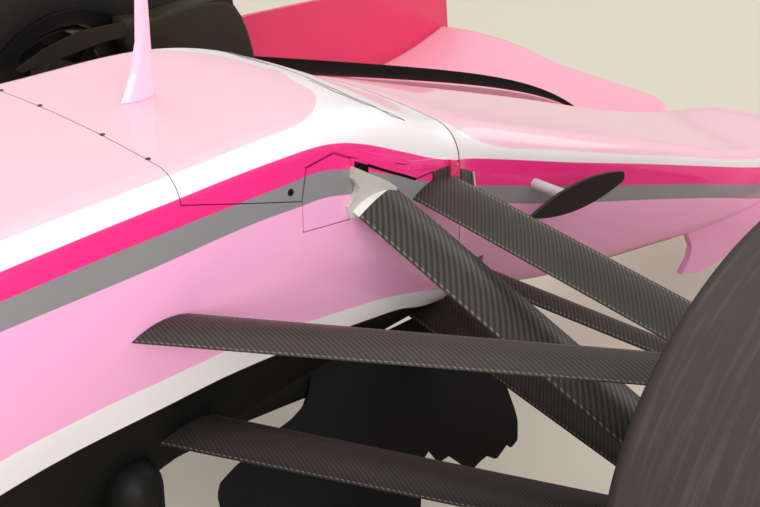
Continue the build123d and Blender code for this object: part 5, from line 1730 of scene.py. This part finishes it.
@dataclass
class Headrest:
    """Padded collar round the driver's head, in place of its plain solid."""

    front_x: float = -1482.0
    rear_x: float = -1728.0
    side_y: float = 175.0
    corner: float = 66.0
    half_width: float = 28.0
    half_height: float = 56.0
    middle_z: float = 658.0
    fill: float = 0.8
    steps: tuple[int, int] = (36, 96)
    end_share: float = 0.045
    tip_size: float = 0.005
    seam_depth: float = 0.07
    seam_width: float = 0.09

    def build(self) -> None:
        """Build the collar."""
        shape = Workshop.closed(Workshop.surface(self.point, *self.steps))
        made = Workshop.finish_piece("headrest_pad", shape, PAD_CLOTH, "chassis", "pad")
        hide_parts("headrest")

    def path(self, along: float) -> Point:
        """Middle line of the collar, back along one side, across and forward along the other.

        Args:
            along: share of its length.

        Returns:
            X, Y and the heading there.
        """
        straight = self.front_x - self.rear_x - self.corner
        bend = self.corner * math.pi / 2
        back = 2 * (self.side_y - self.corner)
        rest = along * (2 * straight + 2 * bend + back)
        if rest < straight:
            return self.front_x - rest, self.side_y, math.pi
        rest -= straight
        centre_x, centre_y = self.rear_x + self.corner, self.side_y - self.corner
        if rest < bend:
            turn = rest / self.corner
            return (centre_x - self.corner * math.sin(turn), centre_y + self.corner * math.cos(turn),
                    math.pi + turn)
        rest -= bend
        if rest < back:
            return self.rear_x, centre_y - rest, math.pi * 1.5
        rest -= back
        if rest < bend:
            turn = rest / self.corner
            return (centre_x - self.corner * math.cos(turn), -centre_y - self.corner * math.sin(turn),
                    math.pi * 1.5 + turn)
        return centre_x + rest - bend, -self.side_y, math.pi * 2

    def point(self, across: float, along: float) -> Vector:
        """Point of the collar.

        Args:
            across: share of the way round the section.
            along: share of its length.

        Returns:
            The point.
        """
        x, y, heading = self.path(along)
        end = min(along, 1 - along) / self.end_share
        full = math.sqrt(max(0.0, 1 - (1 - min(1.0, end)) ** 2))
        size = full * (1 - self.tip_size) + self.tip_size
        turn = 2 * math.pi * across
        wide, tall = math.cos(turn), math.sin(turn)
        round_off = (wide ** 4 + tall ** 4) ** -0.25
        seam = 1 - self.seam_depth * math.exp(-(tall / self.seam_width) ** 2)
        side = wide * round_off * seam * self.half_width * size
        return place(x + math.sin(heading) * side, y - math.cos(heading) * side,
                     self.middle_z + tall * round_off * self.half_height * size)


@dataclass
class WheelDetails:
    """Bolts round the middle of one front wheel."""

    side: Side
    count: int = 10
    circle_radius: float = 60.0
    face_y: float = 921.5
    bolt_radius: float = 5.0
    bolt_height: float = 2.6

    def build(self) -> None:
        """Build the ring of bolts."""
        bolts = bmesh.new()
        for index in range(self.count):
            turn = 2 * math.pi * index / self.count
            foot = self.side.spot(self.circle_radius * math.cos(turn), self.face_y,
                                  AXLE_HEIGHT + self.circle_radius * math.sin(turn))
            Workshop.add_disc(bolts, foot, (0, self.side.value, 0), self.bolt_radius, self.bolt_height,
                              HEXAGON)
        Workshop.finish_piece(f"rim_bolts_{self.side.label}", bolts, ALLOY, f"wheel_{self.side.label}_body",
                              "aluminium", False)


@dataclass
class Cockpit:
    """Display and buttons over the steering wheel's rear face, in metres from the wheel's middle."""

    display_half: float = 0.036
    display_z: tuple[float, float] = (0.004, 0.034)
    display_proud: float = 0.003
    display_bite: float = 0.004
    display_edge: float = 0.8
    button_radius: float = 5.5
    button_height: float = 8.0
    button_bite: float = 0.003
    buttons: tuple[tuple[str, Finish, Line], ...] = (
        ("wheel_buttons_red", RED_TAB, ((0.058, 0.02), (-0.058, 0.02), (0.03, -0.03))),
        ("wheel_buttons_blue", BLUE_TAB, ((0.058, -0.004), (-0.058, -0.004), (-0.03, -0.03))),
        ("wheel_buttons_yellow", YELLOW_TAB, ((0.047, 0.038), (-0.047, 0.038), (0.0, -0.03))),
    )

    def build(self) -> None:
        """Build the display and the buttons."""
        low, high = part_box("steering_wheel")
        middle = (low + high) / 2
        back = low.x
        panel = bmesh.new()
        bottom, top = self.display_z
        low = Vector((back - self.display_proud, middle.y - self.display_half, middle.z + bottom))
        high = Vector((back + self.display_bite, middle.y + self.display_half, middle.z + top))
        Workshop.add_block(panel, low, high, self.display_edge)
        Workshop.finish_piece("wheel_display", panel, SCREEN_GLASS, "steering_wheel_body", "carbon", False)
        for name, finish, spots in self.buttons:
            shape = bmesh.new()
            for y, z in spots:
                foot = Vector((back + self.button_bite, middle.y + y, middle.z + z))
                Workshop.add_disc(shape, foot, REARWARD, self.button_radius, self.button_height)
            Workshop.finish_piece(name, shape, finish, "steering_wheel_body", "livery", False)


@dataclass
class Bulkhead:
    """Rear face of the tub: stud nuts, and the fluid and wiring couplings between them.

    Each coupling is given by its y and z in metres and its radius in millimetres.
    """

    face_x: float = 0.001
    stud_y: float = 0.190
    stud_z: float = 0.210
    nut_radius: float = 14.0
    nut_height: float = 5.0
    couplings: tuple[Point, ...] = (
        (0.06, 0.05, 16), (-0.06, 0.05, 16), (0.0, -0.09, 22), (0.1, -0.12, 12), (-0.1, -0.12, 12),
    )
    coupling_height: float = 14.0
    coupling_sides: int = 24
    coupling_taper: float = 0.85

    def build(self) -> None:
        """Build the nuts and couplings."""
        nuts = bmesh.new()
        for y in (-self.stud_y, self.stud_y):
            for z in (-self.stud_z, self.stud_z):
                foot = Vector((self.face_x, y, z))
                Workshop.add_disc(nuts, foot, REARWARD, self.nut_radius, self.nut_height, HEXAGON)
        Workshop.finish_piece("stud_nuts", nuts, STEEL, "chassis", "steel", False)
        fittings = bmesh.new()
        for y, z, radius in self.couplings:
            Workshop.add_disc(fittings, Vector((self.face_x, y, z)), REARWARD, radius, self.coupling_height,
                              self.coupling_sides, self.coupling_taper)
        Workshop.finish_piece("bulkhead_couplings", fittings, DARK_ALLOY, "chassis", "steel", False)


@dataclass
class PaintShop:
    """Dresses the solids' own nodes."""

    nodes: dict[str, bpy.types.Object]

    def dress(self) -> None:
        """Give every node its finish."""
        for name, node in self.nodes.items():
            finish = self.finish_for(name)
            node.data.materials.clear()
            node.data.materials.append(finish.material())
            LOG.info("node %s in %s", name, finish.name)

    @staticmethod
    def finish_for(name: str) -> Finish:
        """Finish of a node by its name."""
        return NODE_FINISHES.get(name) or SIDE_FINISHES[name.rsplit("_", 1)[0]]


@dataclass
class Studio:
    """Pale floor, soft lamps and the camera.

    Places are in metres, turns in radians, and the lens and sensor in millimetres. The eye is given from the
    ground under the front axle. Each lamp is given by its name, its place, what it points at, its size and
    its power.
    """

    floor_height: float = -MOUNT_HEIGHT
    floor_middle_x: float = 1.5
    floor_size: float = 60.0
    floor_colour: Colour = paint(216, 210, 192)
    floor_patch_colour: Colour = paint(204, 198, 180)
    floor_patch_share: float = 0.2
    floor_patch_scales: tuple[float, float] = (0.6, 8.0)
    floor_roughness: float = 0.45
    seen_colour: Colour = paint(231, 223, 205)
    seen_share: float = 0.35
    air_colour: Colour = paint(240, 238, 234)
    air_strength: float = 0.58
    eye: Point = (-1.3574, -1.4709, 1.3230)
    heading: float = 0.7686
    dip: float = 0.4634
    tilt: float = 0.0031
    lens: float = 73.98
    sensor_width: float = 36.0
    clip_start: float = 0.05
    lamps: tuple[tuple[str, Point, Point, float, float], ...] = (
        ("lamp_above", (1.6, 0.2, 4.2), (1.9, 0.0, 0.0), 5.0, 82.0),
        ("lamp_near", (0.2, -4.4, 1.9), (2.0, 0.0, 0.0), 3.4, 126.0),
        ("lamp_low", (-0.6, -5.4, 1.0), (1.9, 0.0, 0.0), 3.0, 34.0),
        ("lamp_far", (2.4, 4.6, 3.0), (2.2, 0.0, 0.1), 3.6, 60.0),
        ("lamp_front", (6.6, -0.6, 2.6), (2.6, 0.0, 0.0), 3.2, 55.0),
    )

    def build(self) -> None:
        """Build the whole studio."""
        self.floor()
        self.light()
        self.camera()
        self.air()
        bpy.context.scene.view_settings.view_transform = "Standard"

    def floor(self) -> None:
        """Large plain floor under the car."""
        shape = bmesh.new()
        bmesh.ops.create_grid(shape, x_segments=2, y_segments=2, size=self.floor_size / 2)
        middle = Vector((self.floor_middle_x, 0.0, self.floor_height))
        bmesh.ops.translate(shape, verts=shape.verts, vec=middle)
        made = Workshop.placed("studio_floor", Workshop.meshed("studio_floor", shape))
        made.data.materials.append(self.floor_material())

    def floor_material(self) -> bpy.types.Material:
        """Pale floor that the camera sees a little brighter than the lamps make it.

        Returns:
            The new material.
        """
        material = bpy.data.materials.new("studio_floor")
        material.use_nodes = True
        graph = Graph(material.node_tree)
        shader = material.node_tree.nodes["Principled BSDF"]
        large, small = self.floor_patch_scales
        point = graph.object_point()
        patches = graph.group(Effect.clouds(), Vector=point, Large=large, Small=small).outputs[0]
        share = graph.math("MULTIPLY", patches, self.floor_patch_share)
        colour = graph.blend(share, self.floor_colour, self.floor_patch_colour)
        graph.feed(shader.inputs["Base Color"], colour)
        shader.inputs["Roughness"].default_value = self.floor_roughness
        glow = graph.node("ShaderNodeEmission")
        glow.inputs["Color"].default_value = self.seen_colour
        seen = graph.node("ShaderNodeLightPath").outputs["Is Camera Ray"]
        mix = graph.node("ShaderNodeMixShader")
        share_seen = graph.math("MULTIPLY", seen, self.seen_share)
        for socket, value in zip(mix.inputs, (share_seen, shader.outputs[0], glow.outputs[0])):
            graph.feed(socket, value)
        graph.feed(material.node_tree.nodes["Material Output"].inputs["Surface"], mix.outputs[0])
        return material

    def light(self) -> None:
        """Soft area lamps round the car."""
        for name, spot, aim, size, power in self.lamps:
            data = bpy.data.lights.new(name, "AREA")
            data.shape = "DISK"
            data.size = size
            data.energy = power
            made = Workshop.placed(name, data)
            made.location = spot
            made.rotation_euler = (Vector(aim) - Vector(spot)).to_track_quat("-Z", "Y").to_euler()

    def camera(self) -> None:
        """Camera behind and outboard of the right front wheel, looking ahead and in."""
        level = math.cos(self.dip)
        ahead = Vector((math.sin(self.heading) * level, math.cos(self.heading) * level, -math.sin(self.dip)))
        right = Vector((math.cos(self.heading), -math.sin(self.heading), 0.0))
        down = ahead.cross(right)
        turned_right = right * math.cos(self.tilt) + down * math.sin(self.tilt)
        turned_down = -right * math.sin(self.tilt) + down * math.cos(self.tilt)
        data = bpy.data.cameras.new("studio_camera")
        data.sensor_width = self.sensor_width
        data.lens = self.lens
        data.clip_start = self.clip_start
        made = Workshop.placed("studio_camera", data)
        turn = Matrix((turned_right, -turned_down, -ahead)).transposed().to_4x4()
        spot = Vector(self.eye) + Vector((AXLE_X, 0.0, -MOUNT_HEIGHT))
        made.matrix_world = Matrix.Translation(spot) @ turn
        bpy.context.scene.camera = made

    def air(self) -> None:
        """Even pale light from all round."""
        world = bpy.data.worlds.new("studio_air")
        world.use_nodes = True
        background = world.node_tree.nodes["Background"]
        background.inputs["Color"].default_value = self.air_colour
        background.inputs["Strength"].default_value = self.air_strength
        bpy.context.scene.world = world


def main() -> None:
    """Dress the car and set the studio up."""
    logging.basicConfig(level=logging.INFO, format="%(message)s")
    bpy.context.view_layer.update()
    nodes = frame["nodes"]
    PaintShop(nodes).dress()
    FrontWing().build()
    TurningVanes().build()
    for side in Side:
        BrakeDuct(side).build()
        WheelDetails(side).build()
    BodyTrim(Skin([nodes[name] for name in ("tub", "top_cover", "access_hatches", "nose_cone")])).build()
    Headrest().build()
    Cockpit().build()
    Bulkhead().build()
    Studio().build()


if __name__ == "__main__":
    main()
